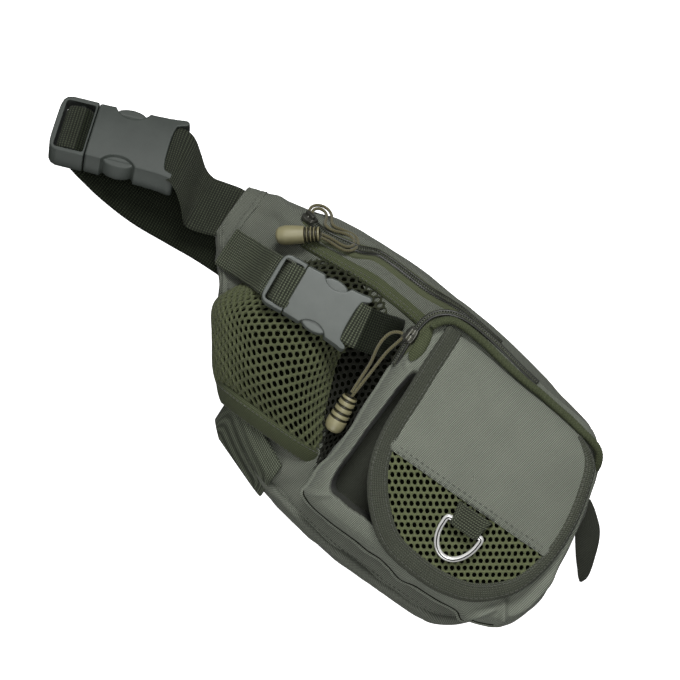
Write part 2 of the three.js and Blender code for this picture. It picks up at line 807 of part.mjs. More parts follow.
function slider() {
  const body = extruded(
    mirrored([
      [-5, 2.4],
      [-2, 4],
      [5, 2.8],
    ]),
    2.2,
    0.4,
  );
  const bridge = box(6, 2.2, 2.6, point(0, 0, 2.6));
  return body.add(bridge);
}

// Sets a mesh on a surface, its X along u and its Z off the surface.
function seat(made, surface, u, v, side, lift) {
  const step = 1e-3;
  const ahead = surface(u + step, v).sub(surface(u - step, v)).normalize();
  const across = surface(u, v + step).sub(surface(u, v - step)).normalize();
  const normal = ahead.clone().cross(across).normalize().multiplyScalar(side);
  const basis = new THREE.Matrix4().makeBasis(ahead, normal.clone().cross(ahead), normal);
  made.quaternion.setFromRotationMatrix(basis);
  made.position.copy(surface(u, v).addScaledVector(normal, lift));
  return made;
}

const MAIN_CORD_END = { mouth: point(-46.8, 45.4, 54), tip: point(-68.3, 29.4, 50.5) };
const POCKET_CORD_END = { mouth: point(24.4, -24, 73), tip: point(26.9, -47.6, 68) };

// The cords lie loose between their sliders and their cord ends.
const mainCord = rows(["x", "y", "z"], [
  [-46, 46, 54.1],
  [-41, 49, 52],
  [-35, 53, 48],
  [-30.8, 55.8, 45],
  [-29.6, 57, 42.4],
  [-31.8, 57, 41],
  [-37, 54.6, 43.6],
  [-43.5, 52, 46.6],
  [-49.4, 50.8, 48.6],
  [-50.6, 53.5, 49],
  [-51, 56.8, 48.5],
  [-53.2, 59, 47.5],
  [-56.4, 58.8, 46.4],
  [-58.6, 56.6, 45.6],
  [-58.8, 54, 44.6],
]);
const pocketCord = rows(["x", "y", "z"], [
  [29.5, 22.3, 86],
  [28.7, 18.8, 84.4],
  [26.8, 10.3, 80.5],
  [26.2, 0, 77.5],
  [25.8, -10, 75],
  [25, -23.4, 73.2],
]);

// A moulded cord end: a bullet from its mouth to its round tip.
function cordEnd({ mouth, tip }) {
  const profile = rows(["t", "radius"], [
    [0, 4],
    [0.06, 4.6],
    [0.4, 5.2],
    [0.75, 5.8],
    [0.9, 5],
    [0.97, 3.4],
    [1, 1.4],
  ]);
  const ts = profile.map((row) => row.t);
  return tube(ts.map((t) => mouth.clone().lerp(tip, t)), profile.map((row) => row.radius), 12);
}

const pack = new THREE.Group();
const add = (name, solid, material) => pack.add(mesh(name, solid, material));

add("main_shell", mainShell(), LOOKS.cloth);
add("back_panel", backPanel(), LOOKS.cloth);
add("right_wing", rightWing().subtract(bodyCutter), LOOKS.cloth);
add("main_zipper", mainZipper(), LOOKS.tape);

const pouchYs = [-63, -56, -48, -40, -30, -20, -12, -4, 3, 10, 17, 24];
add("mesh_pouch", pouchWall(pouchYs, -NET, 0).subtract(bodyCutter).subtract(loopCutter), LOOKS.net);
add("pouch_top_binding", pouchTopBinding(), LOOKS.tape);
const bottomBinding = pouchWall([-73, -69, -66, -62, -59.5], GAP, 2.6);
add("pouch_bottom_binding", bottomBinding.subtract(bodyCutter).subtract(loopCutter), LOOKS.tape);
add("bottom_loop", bottomLoop(GAP, GAP + WEB, 0), LOOKS.web);
add("pouch_strap_left", ribbon(strapLeft, STRAP, 12), LOOKS.web);
add("pouch_strap_right", ribbon(strapRight, STRAP, 10), LOOKS.web);

add("pocket_box", pocketBox(), LOOKS.cloth);
add("pocket_zipper", pocketZipper(), LOOKS.tape);
add("pocket_piping", pocketPiping(), LOOKS.tape);
add("flap_cloth", flapCloth(), LOOKS.cloth);
add("flap_mesh", flapHalf(false), LOOKS.net);
add("flap_binding", flapBinding(), LOOKS.tape);
add("ring_tab", ringTab(), LOOKS.web);

const ring = mesh("d_ring", dRing(), LOOKS.metal);
ring.position.set(RING.x, RING.y, ringPlane);
ring.rotation.x = ringFall;
pack.add(ring);

pack.add(buckle("belt_buckle", BELT_BUCKLE));
pack.add(buckle("pouch_buckle", STRAP_BUCKLE));
add("belt_front", ribbon(beltFront, BELT, 22).subtract(bodyCutter), LOOKS.web);
add("belt_back", ribbon(beltBack, BELT, 50), LOOKS.web);

pack.add(seat(mesh("main_slider", slider(), LOOKS.metal), mainZipSurface, -57, 0, 1, 2.8));
const pocketSlide = 0.95 / POCKET_OUTLINE.length;
pack.add(seat(mesh("pocket_slider", slider(), LOOKS.metal), pocketZipSurface, pocketSlide, 0, -1, 2.8));
add("main_cord_end", cordEnd(MAIN_CORD_END), LOOKS.cordEnd);
add("pocket_cord_end", cordEnd(POCKET_CORD_END), LOOKS.cordEnd);

// The pack's own frame: the middle of its footprint, on the floor.
const extent = new THREE.Box3().setFromObject(pack, true);
const middle = extent.getCenter(point(0, 0, 0)).setZ(extent.min.z);
add("main_pull_cord", tube(curve(mainCord, 34), CORD / 2, 6), LOOKS.cord);
add("pocket_pull_cord", tube(curve(pocketCord, 14), CORD / 2, 6), LOOKS.cord);
for (const piece of pack.children) piece.position.sub(middle);

export default pack;
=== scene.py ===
"""Dresses the hip pack on its frame: cloth, mesh, webbing, zips, cords and fittings."""

import math
from collections import namedtuple

import bmesh
import bpy
import numpy as np
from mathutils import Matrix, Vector


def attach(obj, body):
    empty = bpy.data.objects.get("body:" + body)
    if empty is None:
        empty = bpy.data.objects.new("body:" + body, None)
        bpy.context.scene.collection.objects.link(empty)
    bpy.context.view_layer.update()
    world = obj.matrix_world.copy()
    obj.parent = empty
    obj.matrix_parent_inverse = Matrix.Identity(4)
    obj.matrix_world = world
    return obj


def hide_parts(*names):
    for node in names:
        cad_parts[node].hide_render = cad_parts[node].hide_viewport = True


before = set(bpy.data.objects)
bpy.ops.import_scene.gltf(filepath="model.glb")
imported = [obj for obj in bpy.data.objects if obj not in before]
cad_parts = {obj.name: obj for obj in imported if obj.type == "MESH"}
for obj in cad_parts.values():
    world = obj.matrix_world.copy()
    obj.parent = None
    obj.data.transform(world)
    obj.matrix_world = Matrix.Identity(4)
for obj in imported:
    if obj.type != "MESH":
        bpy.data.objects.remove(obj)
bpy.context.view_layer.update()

# All places below are in the pack's own millimetres: X along it, Y towards its zipper, Z off its back.
MM = 1e-3
SHIFT = np.array([8.511357, 24.75, 0.0])
FULL = 2 * math.pi
UP = np.array([0, 0, 1.0])

# Numbers, curves and tables


def metres(points):
    return (np.asarray(points, float) + SHIFT) * MM


def pair(u, v):
    return np.broadcast_arrays(np.asarray(u, float), np.asarray(v, float))


def crossed(u, v):
    return np.meshgrid(u, v, indexing="ij")


def columns(table):
    return np.moveaxis(table, -1, 0)


def runs(*parts):
    """Even steps, one run after another: each has its first and last value and its count."""
    return np.concatenate([np.linspace(*part) for part in parts])


def spin(count):
    """Angles once round a circle."""
    return np.linspace(0, FULL, count, endpoint=False)


def turned(turn, tilt):
    """A frame turned about the upright and tilted about its own length, in degrees."""
    c, s = math.cos(math.radians(turn)), math.sin(math.radians(turn))
    ct, st = math.cos(math.radians(tilt)), math.sin(math.radians(tilt))
    return np.array([[c, -s * ct, s * st], [s, c * ct, -c * st], [0, st, ct]])


class Track:
    """A table of values that run smoothly from row to row, by its first column."""

    def __init__(self, *rows):
        table = np.array(rows, float)
        self.x, self.y = table[:, 0], table[:, 1:]
        rise = np.diff(self.y, axis=0) / np.diff(self.x)[:, None]
        self.slope = np.zeros_like(self.y)
        self.slope[0], self.slope[-1] = rise[0], rise[-1]
        product = rise[:-1] * rise[1:]
        total = rise[:-1] + rise[1:]
        mean = 2 * product / np.where(np.abs(total) < 1e-12, 1, total)
        self.slope[1:-1] = np.where(product > 0, mean, 0)

    def __call__(self, place):
        at = np.clip(np.asarray(place, float), self.x[0], self.x[-1])
        i = np.clip(np.searchsorted(self.x, at) - 1, 0, len(self.x) - 2)
        step = self.x[i + 1] - self.x[i]
        t = ((at - self.x[i]) / step)[..., None]
        near = self.y[i] + t * t * (3 - 2 * t) * (self.y[i + 1] - self.y[i])
        bend = self.slope[i] * t * (1 - t) ** 2 - self.slope[i + 1] * t * t * (1 - t)
        return near + bend * step[..., None]


class Path:
    """A smooth curve through points, by its share of the way from point to point."""

    def __init__(self, points, loop=False):
        self.p, self.loop = np.array(points, float), loop

    def __call__(self, share):
        n = len(self.p)
        spans = n if self.loop else n - 1
        place = np.asarray(share, float)
        place = (place % 1 if self.loop else np.clip(place, 0, 1)) * spans
        i = np.minimum(np.floor(place).astype(int), spans - 1)
        w = (place - i)[..., None]
        if self.loop:
            a, b, c, d = (self.p[(i + k) % n] for k in (-1, 0, 1, 2))
        else:
            ends = np.vstack([2 * self.p[0] - self.p[1], self.p, 2 * self.p[-1] - self.p[-2]])
            a, b, c, d = (ends[i + k] for k in (0, 1, 2, 3))
        step = [np.maximum(np.linalg.norm(q - p, axis=-1, keepdims=True) ** 0.5, 1e-6)
                for p, q in ((a, b), (b, c), (c, d))]
        t1 = (b - a) / step[0] - (c - a) / (step[0] + step[1]) + (c - b) / step[1]
        t2 = (c - b) / step[1] - (d - b) / (step[1] + step[2]) + (d - c) / step[2]
        t1, t2 = t1 * step[1], t2 * step[1]
        return b + w * t1 + w**2 * (3 * (c - b) - 2 * t1 - t2) + w**3 * (2 * (b - c) + t1 + t2)

    def even(self, count):
        """Points at equal distances."""
        return resampled(self(np.linspace(0, 1, 40 * len(self.p))), count)


def flat_loop(rows):
    """A closed outline through places in plan."""
    return Path([(x, y, 0) for x, y in rows], loop=True)


def lengths(points):
    return np.concatenate([[0], np.cumsum(np.linalg.norm(np.diff(points, axis=0), axis=1))])


def resampled(points, count):
    far = lengths(points)
    at = np.linspace(0, far[-1], count)
    return np.stack([np.interp(at, far, column) for column in points.T], axis=1)


def unit(v):
    v = np.asarray(v, float)
    return v / np.maximum(np.linalg.norm(v, axis=-1, keepdims=True), 1e-9)


def ahead_of(path):
    return unit(np.gradient(path, axis=0))


def ease(low, high, value):
    t = np.clip((np.asarray(value, float) - low) / (high - low), 0, 1)
    return t * t * (3 - 2 * t)


def bump(value, centre, half):
    """1 at the centre, 0 from half away on."""
    return 1 - ease(0, half, np.abs(np.asarray(value, float) - centre))


def ribs(far, pitch, high):
    """Even ribs across a tape, by the distance along it."""
    return high * np.cos(far * FULL / pitch)


def ripple(points, seed, wave, amount, waves=7, flat=(1, 1, 1)):
    """Soft folds: a sum of slow waves, the same each run."""
    dice = np.random.default_rng(seed)
    total = np.zeros(points.shape[:-1])
    for _ in range(waves):
        way = unit(dice.normal(size=3) * np.array(flat))
        size = wave * dice.uniform(0.6, 1.7)
        total += np.sin(points @ way * (FULL / size) + dice.uniform(0, 6.28))
    return amount * total / waves**0.5


def crease(points, start, end, wide, deep):
    """A pressed-in fold along a line seen from the front."""
    a, b = np.array(start, float), np.array(end, float)
    way = b - a
    t = np.clip(((points[..., :2] - a) @ way) / (way @ way), 0, 1)
    off = np.linalg.norm(points[..., :2] - a - t[..., None] * way, axis=-1)
    return deep * np.exp(-((off / wide) ** 2)) * (0.35 + 0.65 * np.sin(math.pi * np.clip(t, 0.08, 0.92)))


def creases(points, rows):
    return sum(crease(points, *row) for row in rows)


# Meshes


def new_object(name, data):
    obj = bpy.data.objects.new(name, data)
    bpy.context.scene.collection.objects.link(obj)
    return obj


def new_mesh(name, points, faces):
    data = bpy.data.meshes.new(name)
    data.from_pydata(points, [], faces)
    data.update()
    return data


def smooth(data):
    data.polygons.foreach_set("use_smooth", np.ones(len(data.polygons), bool))
    data.update()


def settle(obj):
    """Applies an object's modifiers to its mesh."""
    graph = bpy.context.evaluated_depsgraph_get()
    made = bpy.data.meshes.new_from_object(obj.evaluated_get(graph))
    old = obj.data
    obj.modifiers.clear()
    obj.data = made
    bpy.data.meshes.remove(old)


def fitted(obj, replaced, body="bag"):
    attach(obj, body)
    if replaced:
        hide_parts(*replaced)
    return obj


class Build:
    """Collects patches of one object."""

    def __init__(self):
        self.points, self.faces, self.uvs, self.marks, self.count = [], [], [], [], 0

    def add(self, points, faces, uvs, mark):
        points = np.asarray(points, float).reshape(-1, 3)
        self.points.append(points)
        self.faces += [[self.count + i for i in face] for face in faces]
        self.uvs += [np.asarray(uv, float).reshape(-1, 2) for uv in uvs]
        self.marks += [mark] * len(faces)
        self.count += len(points)

    def grid(self, points, loop_u=False, loop_v=False, mark=0, uv=None, turn=False, cloth=False):
        """A patch from rows of points; its UV is in metres along it, or the weave's own if it is cloth."""
        points = np.asarray(points, float)
        nu, nv = points.shape[:2]
        if uv is None:
            uv = arc_uv(points, loop_u, loop_v)
        i, j = crossed(np.arange(nu if loop_u else nu - 1), np.arange(nv if loop_v else nv - 1))
        corners = [(i, j), (i + 1, j), (i + 1, j + 1), (i, j + 1)]
        if turn:
            corners = corners[::-1]
        faces = np.stack([(a % nu) * nv + b % nv for a, b in corners], -1).reshape(-1, 4)
        places = np.stack([uv[a, b] for a, b in corners], -2).reshape(-1, 4, 2)
        if cloth:
            places = cloth_uv(points.reshape(-1, 3)[faces])
        self.add(points, faces.tolist(), list(places), mark)

    def fan(self, ring, mark=0, turn=False):
        """Closes a ring of points with triangles to its middle."""
        ring = np.asarray(ring, float)
        points = np.vstack([ring, ring.mean(axis=0)])
        n = len(ring)
        faces = [[k, (k + 1) % n, n][:: -1 if turn else 1] for k in range(n)]
        uv = points[:, :2] * MM
        self.add(points, faces, [uv[f] for f in faces], mark)

    def closed(self, rings, turn=False, uv=None):
        """A tube of rings with both ends closed."""
        self.grid(rings, loop_v=True, turn=turn, uv=uv)
        self.fan(rings[0], turn=not turn)
        self.fan(rings[-1], turn=turn)
        return self

    def strip(self, over, under, turn=False, uv=None):
        """A tape with an upper and a lower face."""
        self.closed(np.concatenate([over, under[:, ::-1]], axis=1), turn, uv)

    def done(self, name, materials, replaced, slot, body="bag", weld=0.0):
        data = new_mesh(name, metres(np.vstack(self.points)).tolist(), self.faces)
        layer = data.uv_layers.new(name="UVMap")
        layer.data.foreach_set("uv", np.vstack(self.uvs).astype(np.float32).ravel())
        for material in materials:
            data.materials.append(material)
        data.polygons.foreach_set("material_index", np.array(self.marks, np.int32))
        smooth(data)
        obj = new_object(name, data)
        if weld:
            tool = obj.modifiers.new("weld", "WELD")
            tool.merge_threshold = weld * MM
            settle(obj)
        return fitted(obj, replaced, body)


def arc_uv(points, loop_u, loop_v):
    """Metres along the rows and columns of a patch."""
    wide = points
    if loop_u:
        wide = np.concatenate([wide, wide[:1]], axis=0)
    if loop_v:
        wide = np.concatenate([wide, wide[:, :1]], axis=1)
    du = np.linalg.norm(np.diff(wide, axis=0), axis=2)
    dv = np.linalg.norm(np.diff(wide, axis=1), axis=2)
    u = np.concatenate([np.zeros((1, wide.shape[1])), np.cumsum(du, axis=0)])
    v = np.concatenate([np.zeros((wide.shape[0], 1)), np.cumsum(dv, axis=1)], axis=1)
    return np.stack([u, v], axis=2) * MM


def plan_uv(points):
    return points[..., :2] * MM


def cloth_uv(quads):
    """The weave of each face, laid on flat from the side that it faces most and turned to a diagonal."""
    normal = np.abs(np.cross(quads[:, 2] - quads[:, 0], quads[:, 3] - quads[:, 1]))
    level = normal[:, 2] > 0.7 * np.maximum(normal[:, 0], normal[:, 1])
    across = normal[:, 0] > normal[:, 1]
    first = np.where((across & ~level)[:, None], quads[..., 1], quads[..., 0])
    second = np.where(level[:, None], quads[..., 1], quads[..., 2])
    return np.stack([first - second, first + second], axis=-1) * MM / math.sqrt(2)


def sides(surface, u, v, step=1e-3):
    """A surface's points and unit normals."""
    du = surface(u + step, v) - surface(u - step, v)
    dv = surface(u, v + step) - surface(u, v - step)
    return surface(u, v), unit(np.cross(du, dv))


def grid_normals(points):
    return unit(np.cross(np.gradient(points, axis=0), np.gradient(points, axis=1)))


def tube_rings(path, radius, count):
    """Rings round a path, turned as little as they can be."""
    path = np.asarray(path, float)
    ahead = ahead_of(path)
    side = np.cross(ahead[0], [0.3, 0.2, 1])
    angle = spin(count)
    radius = np.broadcast_to(radius, (len(path),))
    rings = []
    for k in range(len(path)):
        side = unit(side - ahead[k] * (side @ ahead[k]))
        other = np.cross(ahead[k], side)
        ring = np.cos(angle)[:, None] * side + np.sin(angle)[:, None] * other
        rings.append(path[k] + radius[k] * ring)
    return np.array(rings)


def tube(build, path, radius, count):
    return build.closed(tube_rings(path, radius, count))


# The stitches, and the dark lines of painted shade sunk in the seams, of all pieces, each gathered into one
# mesh
thread = Build()
seam_shade_lines = Build()
# A stitch's thickness along it: place and share of its radius.
STITCH = ((-1, 0.35), (-0.8, 0.8), (-0.3, 1), (0.3, 1), (0.8, 0.8), (1, 0.35))


def stitches(line, normals, pitch=3.0, length=2.1, radius=0.3, lift=0.1):
    """A run of thread: short rounded stitches along a line on a surface."""
    far = lengths(line)
    count = max(int(far[-1] / pitch), 1)
    normals = unit(normals)

    def at(place, values):
        return np.array([np.interp(place, far, column) for column in values.T])

    for s in (np.arange(count) + 0.5) * far[-1] / count:
        way = unit(at(s + length / 2, line) - at(s - length / 2, line))
        rings = []
        for t, size in STITCH:
            up = unit(at(s + t * length / 2, normals))
            across = unit(np.cross(up, way))
            centre = at(s + t * length / 2, line) + up * (lift - radius * 0.75 * abs(t) ** 3)
            rings.append([
                centre + radius * size * (math.cos(a) * across + math.sin(a) * up) for a in spin(6)
            ])
        thread.grid(rings, loop_v=True, turn=True)


# Materials

# The cloth and the mesh are cut at this angle to the pack's length.
LEAN = math.radians(35)


def linear(colour):
    """A shader's colour from the 0 to 255 steps of a screen's."""
    steps = [c / 255 for c in colour]
    return tuple(c / 12.92 if c <= 0.04045 else ((c + 0.055) / 1.055) ** 2.4 for c in steps) + (1.0,)


class Finish:
    """A node material, built step by step."""

    def __init__(self, name, rough, specular, metal=0.0, sheen=0.0):
        self.material = bpy.data.materials.new(name)
        self.material.use_nodes = True
        self.tree = self.material.node_tree
        self.shader = self.tree.nodes["Principled BSDF"]
        self.set(self.shader, Roughness=rough, Metallic=metal, Specular_IOR_Level=specular)
        if sheen:
            self.set(self.shader, Sheen_Weight=sheen, Sheen_Roughness=0.5)

    def set(self, node, **values):
        for key, value in values.items():
            node.inputs[key.replace("_", " ")].default_value = value

    def node(self, kind, **values):
        made = self.tree.nodes.new("ShaderNode" + kind)
        for key, value in values.items():
            setattr(made, key, value)
        return made

    def join(self, out, into):
        self.tree.links.new(out, into)

    def coords(self, kind="UV", turn=0.0):
        place = self.node("Mapping")
        place.inputs["Rotation"].default_value = (0, 0, turn)
        self.join(self.node("TexCoord").outputs[kind], place.inputs["Vector"])
        return place.outputs["Vector"]

    def wave(self, vector, pitch, way="X", bend=0.0):
        made = self.node("TexWave", wave_type="BANDS", bands_direction=way)
        self.set(made, Scale=FULL / (20 * pitch), Distortion=bend, Detail=1.0, Detail_Scale=2.0)
        self.join(vector, made.inputs["Vector"])
        return made.outputs["Fac"]

    def noise(self, vector, scale, detail):
        made = self.node("TexNoise")
        self.set(made, Scale=scale, Detail=detail, Roughness=0.55)
        self.join(vector, made.inputs["Vector"])
        return made.outputs["Fac"]

    def math(self, kind, *values):
        made = self.node("Math", operation=kind)
        for value, into in zip(values, made.inputs):
            if isinstance(value, (int, float)):
                into.default_value = value
            else:
                self.join(value, into)
        return made.outputs[0]

    def mix(self, first, first_share, second, second_share):
        first = self.math("MULTIPLY", first, first_share)
        return self.math("ADD", first, self.math("MULTIPLY", second, second_share))

    def ramp(self, value, low, high, stops=(0.0, 1.0)):
        made = self.node("ValToRGB")
        for element, stop, colour in zip(made.color_ramp.elements, stops, (low, high)):
            element.position = stop
            element.color = colour
        self.join(value, made.inputs["Fac"])
        return made.outputs["Color"]

    def spread(self, value, low, high):
        made = self.node("MapRange")
        self.set(made, To_Min=low, To_Max=high)
        self.join(value, made.inputs["Value"])
        return made.outputs["Result"]

    def tint(self, colour, value, low, high):
        """Multiplies a colour by a number that runs from low to high."""
        made = self.node("Mix", data_type="RGBA", blend_type="MULTIPLY")
        made.inputs[0].default_value = 1.0
        self.join(colour, made.inputs[6])
        self.join(self.ramp(value, (low, low, low, 1), (high, high, high, 1)), made.inputs[7])
        return made.outputs[2]

    def colour(self, out):
        self.join(out, self.shader.inputs["Base Color"])

    def rough(self, value, low, high):
        self.join(self.spread(value, low, high), self.shader.inputs["Roughness"])

    def relief(self, height, depth, strength):
        made = self.node("Bump")
        self.set(made, Strength=strength, Distance=depth)
        self.join(height, made.inputs["Height"])
        self.join(made.outputs["Normal"], self.shader.inputs["Normal"])


def cloth_finish(name, low, high, pitch=0.00105, gloss=0.18):
    """Plain polyester weave: crossed threads, a little mottled."""
    f = Finish(name, rough=0.82, specular=gloss, sheen=gloss * 0.4)
    at = f.coords("UV", -LEAN)
    weave = f.math("MULTIPLY", f.wave(at, pitch, "X", 0.5), f.wave(at, pitch * 0.8, "Y", 0.5))
    fibre = f.noise(at, 2600, 2.0)
    height = f.mix(weave, 0.7, fibre, 0.45)
    colour = f.ramp(height, linear(low), linear(high), (0.12, 0.85))
    f.colour(f.tint(colour, f.noise(at, 45, 4.0), 0.86, 1.14))
    f.rough(fibre, 0.68, 0.92)
    f.relief(height, 0.00022, 0.8)
    return f.material


def ribbed_finish(name, low, high, pitch, dash, way="X", gloss=0.18):
    """Woven tape: ribs across it, each a row of short dashes."""
    f = Finish(name, rough=0.75, specular=gloss, sheen=0.05)
    at = f.coords()
    row = f.wave(at, dash, "Y" if way == "X" else "X", 0.3)
    fibre = f.noise(at, 2400, 2.0)
    dashes = f.math("MULTIPLY", f.wave(at, pitch, way), f.spread(row, 0.12, 1.0))
    height = f.mix(dashes, 0.8, fibre, 0.3)
    colour = f.ramp(height, linear(low), linear(high), (0.1, 0.95))
    f.colour(f.tint(colour, f.noise(at, 60, 3.0), 0.85, 1.15))
    f.rough(fibre, 0.55, 0.85)
    f.relief(height, 0.00035, 1.0)
    return f.material


def plastic_finish(name, low, high, rough=0.36, specular=0.5):
    """Moulded plastic with a fine satin grain."""
    f = Finish(name, rough, specular)
    at = f.coords("Object")
    grain = f.noise(at, 1500, 3.0)
    cloud = f.noise(at, 60, 4.0)
    f.colour(f.ramp(cloud, linear(low), linear(high), (0.3, 0.7)))
    f.rough(f.mix(grain, 0.5, cloud, 0.5), rough - 0.06, rough + 0.16)
    f.relief(grain, 0.00005, 0.35)
    return f.material


def metal_finish(name, low, high, rough):
    """Dull metal; its two greys are the shader's own."""
    f = Finish(name, rough, specular=0.5, metal=1.0)
    at = f.coords("Object")
    cloud = f.noise(at, 220, 4.0)
    f.colour(f.ramp(cloud, low, high, (0.3, 0.7)))
    f.rough(cloud, rough * 0.7, rough * 1.5)
    f.relief(f.noise(at, 900, 2.0), 0.00003, 0.2)
    return f.material


def chrome_finish(name, front):
    """Bright wire with a painted reflection: the dark line that it would mirror along its front is set in its
    colour.
    """
    f = Finish(name, rough=0.14, specular=0.6, metal=0.35)
    facing = f.node("VectorMath", operation="DOT_PRODUCT")
    f.join(f.coords("Normal"), facing.inputs[0])
    facing.inputs[1].default_value = front
    bright, dark = (0.9, 0.9, 0.88, 1), (0.02, 0.02, 0.02, 1)
    f.colour(f.ramp(facing.outputs["Value"], bright, dark, (0.95, 0.975)))
    f.rough(f.noise(f.coords("Object"), 220, 4.0), 0.06, 0.16)
    return f.material


def cord_finish(name, low, high):
    """A fine braid: two sets of strands that cross round the cord."""
    f = Finish(name, rough=0.8, specular=0.3, sheen=0.2)
    braid = f.math("MAXIMUM", *(f.wave(f.coords("UV", turn), 0.0011) for turn in (0.62, -0.62)))
    fibre = f.noise(f.coords(), 2600, 2.0)
    height = f.mix(braid, 0.75, fibre, 0.3)
    f.colour(f.ramp(height, linear(low), linear(high), (0.15, 0.95)))
    f.rough(fibre, 0.65, 0.9)
    f.relief(height, 0.00025, 0.9)
    return f.material


# The pitch of the mesh's threads and of the webbing's ribs and dashes, in metres
NET_PITCH = 0.0007
WEBBING_PITCH = (0.0017, 0.0015)

CLOTH = cloth_finish("cloth", (66, 70, 62), (150, 155, 141))
CLOTH_BODY = cloth_finish("cloth_body", (52, 55, 48), (130, 134, 122))
# Painted shade: the pack's cloth darkened, for the shaded well beside the flap and the tongue under the right
# end.
CLOTH_PAINTED_SHADE = cloth_finish("cloth_painted_shade", (30, 32, 25), (56, 59, 50))
# Painted shade: a near-black sheet under the meshes, for the shade seen through their holes.
NET_BACK_PAINTED_SHADE = cloth_finish("net_back_painted_shade", (6, 7, 2), (13, 15, 6), gloss=0.0)
NET = cloth_finish("net", (56, 61, 38), (104, 110, 78), NET_PITCH)
NET_FLAP = cloth_finish("net_flap", (68, 74, 48), (122, 129, 92), NET_PITCH)
# Painted shade: the side mesh darkened to near black in the gap beside the pocket.
NET_SIDE_PAINTED_SHADE = cloth_finish("net_side_painted_shade", (14, 15, 9), (34, 36, 25), NET_PITCH)
# Painted shade: the pouch's mesh darkened near its mouth, under the strap and buckle.
NET_MOUTH_PAINTED_SHADE = cloth_finish("net_mouth_painted_shade", (30, 33, 20), (58, 62, 42), NET_PITCH)
BACK_NET = cloth_finish("back_net", (44, 47, 40), (74, 78, 68), 0.0016)
TAPE = ribbed_finish("tape", (62, 67, 46), (104, 109, 82), 0.0011, 0.0009, "Y")
BAND = ribbed_finish("band", (52, 58, 37), (92, 98, 69), 0.0012, 0.0011, "Y")
BINDING = ribbed_finish("binding", (46, 49, 40), (98, 102, 88), 0.0015, 0.0014)
BINDING_GREEN = ribbed_finish("binding_green", (50, 56, 36), (90, 96, 68), 0.0013, 0.0011, "Y")
WEBBING = ribbed_finish("webbing", (12, 14, 8), (100, 107, 86), *WEBBING_PITCH)
WEBBING_BELT = ribbed_finish("webbing_belt", (7, 9, 4), (66, 72, 56), *WEBBING_PITCH)
# The loop's webbing has its own rib pitch, and is coloured lighter than the other webbing as painted light on
# its slope, which faces away from the lamps.
WEBBING_LOOP_PAINTED_LIGHT = ribbed_finish("webbing_loop_painted_light", (24, 27, 18), (116, 123, 104), 0.0015, 0.0014)
# Painted shade: the webbing darkened for its stretches that lie in shadow.
WEBBING_PAINTED_SHADE = ribbed_finish("webbing_painted_shade", (5, 7, 3), (46, 52, 38), *WEBBING_PITCH, gloss=0.05)
# Painted shade: the near-black colour of the lines sunk in seam grooves.
SEAM_PAINTED_SHADE = cloth_finish("seam", (18, 20, 14), (34, 37, 29), gloss=0.0)
THREAD = cord_finish("thread", (50, 53, 45), (84, 87, 77))
COIL = plastic_finish("coil", (44, 47, 37), (72, 75, 62))
# Painted shade: near-black lines along the coil's edges, where it meets the tape.
COIL_EDGE_PAINTED_SHADE = plastic_finish("coil_edge_painted_shade", (10, 12, 7), (20, 22, 15))
PLASTIC = plastic_finish("plastic", (74, 79, 75), (86, 91, 87), 0.4, 0.45)
PLASTIC_DARK = plastic_finish("plastic_dark", (52, 57, 53), (61, 66, 62), 0.48, 0.28)
# The slope at which the D-ring lies, in radians
RING_FALL = 0.2290
# The ring's dark line along its front is a painted reflection, set by which way its surface faces.
CHROME = chrome_finish("chrome", (0, -math.sin(RING_FALL), math.cos(RING_FALL)))
STEEL = metal_finish("steel", (0.13, 0.13, 0.11, 1), (0.26, 0.26, 0.23, 1), 0.34)
CORD = cord_finish("cord", (40, 38, 22), (104, 99, 68))
CORD_END = plastic_finish("cord_end", (124, 119, 88), (140, 135, 103))
# Painted shade: darker plastic for the faces in the cord ends' grooves.
GROOVE_PAINTED_SHADE = plastic_finish("cord_end_groove_painted_shade", (40, 38, 24), (54, 51, 34))

# The pack's body: a row for each section, with its two edges and its front

BODY = Track(
    (-100, 9, 45, 15), (-86, -10, 51, 23), (-74, -25, 53.5, 33), (-58, -47, 57, 44),
    (-38, -70, 61.5, 51), (-20, -87, 64, 55), (16, -105.5, 65.5, 57), (46, -111, 63.5, 58),
    (77, -114.5, 60, 58), (110, -115, 56, 57), (139, -113.5, 49, 56), (155, -106, 46, 54),
    (167, -92, 39, 50), (179, -76, 18, 42), (189, -56, -4, 28),
)
BASE = 6.6
CROWN = 2.5
# Each long edge is rounded: how far in at most, as a share of the section's width, and how squarely.
Corner = namedtuple("Corner", "most share power")
LOWER = Corner(26, 0.2, 2.5)
UPPER = Corner(40, 0.26, 2.2)
# The turn round a section runs from 0 to 1, and each corner takes this share of it.
CORNER_TURN = 0.4


def body_section(x):
    """The two edges, the front, and how far in each corner reaches."""
    low, high, front = columns(BODY(x))
    lower, upper = (np.minimum(c.most, c.share * (high - low)) for c in (LOWER, UPPER))
    return low, high, front, lower, upper


def corner_power(turn, power):
    angle = np.clip(turn / CORNER_TURN, 0, 1) * math.pi / 2
    return (np.clip(f(angle), 0, 1) ** (2 / power) for f in (np.cos, np.sin))


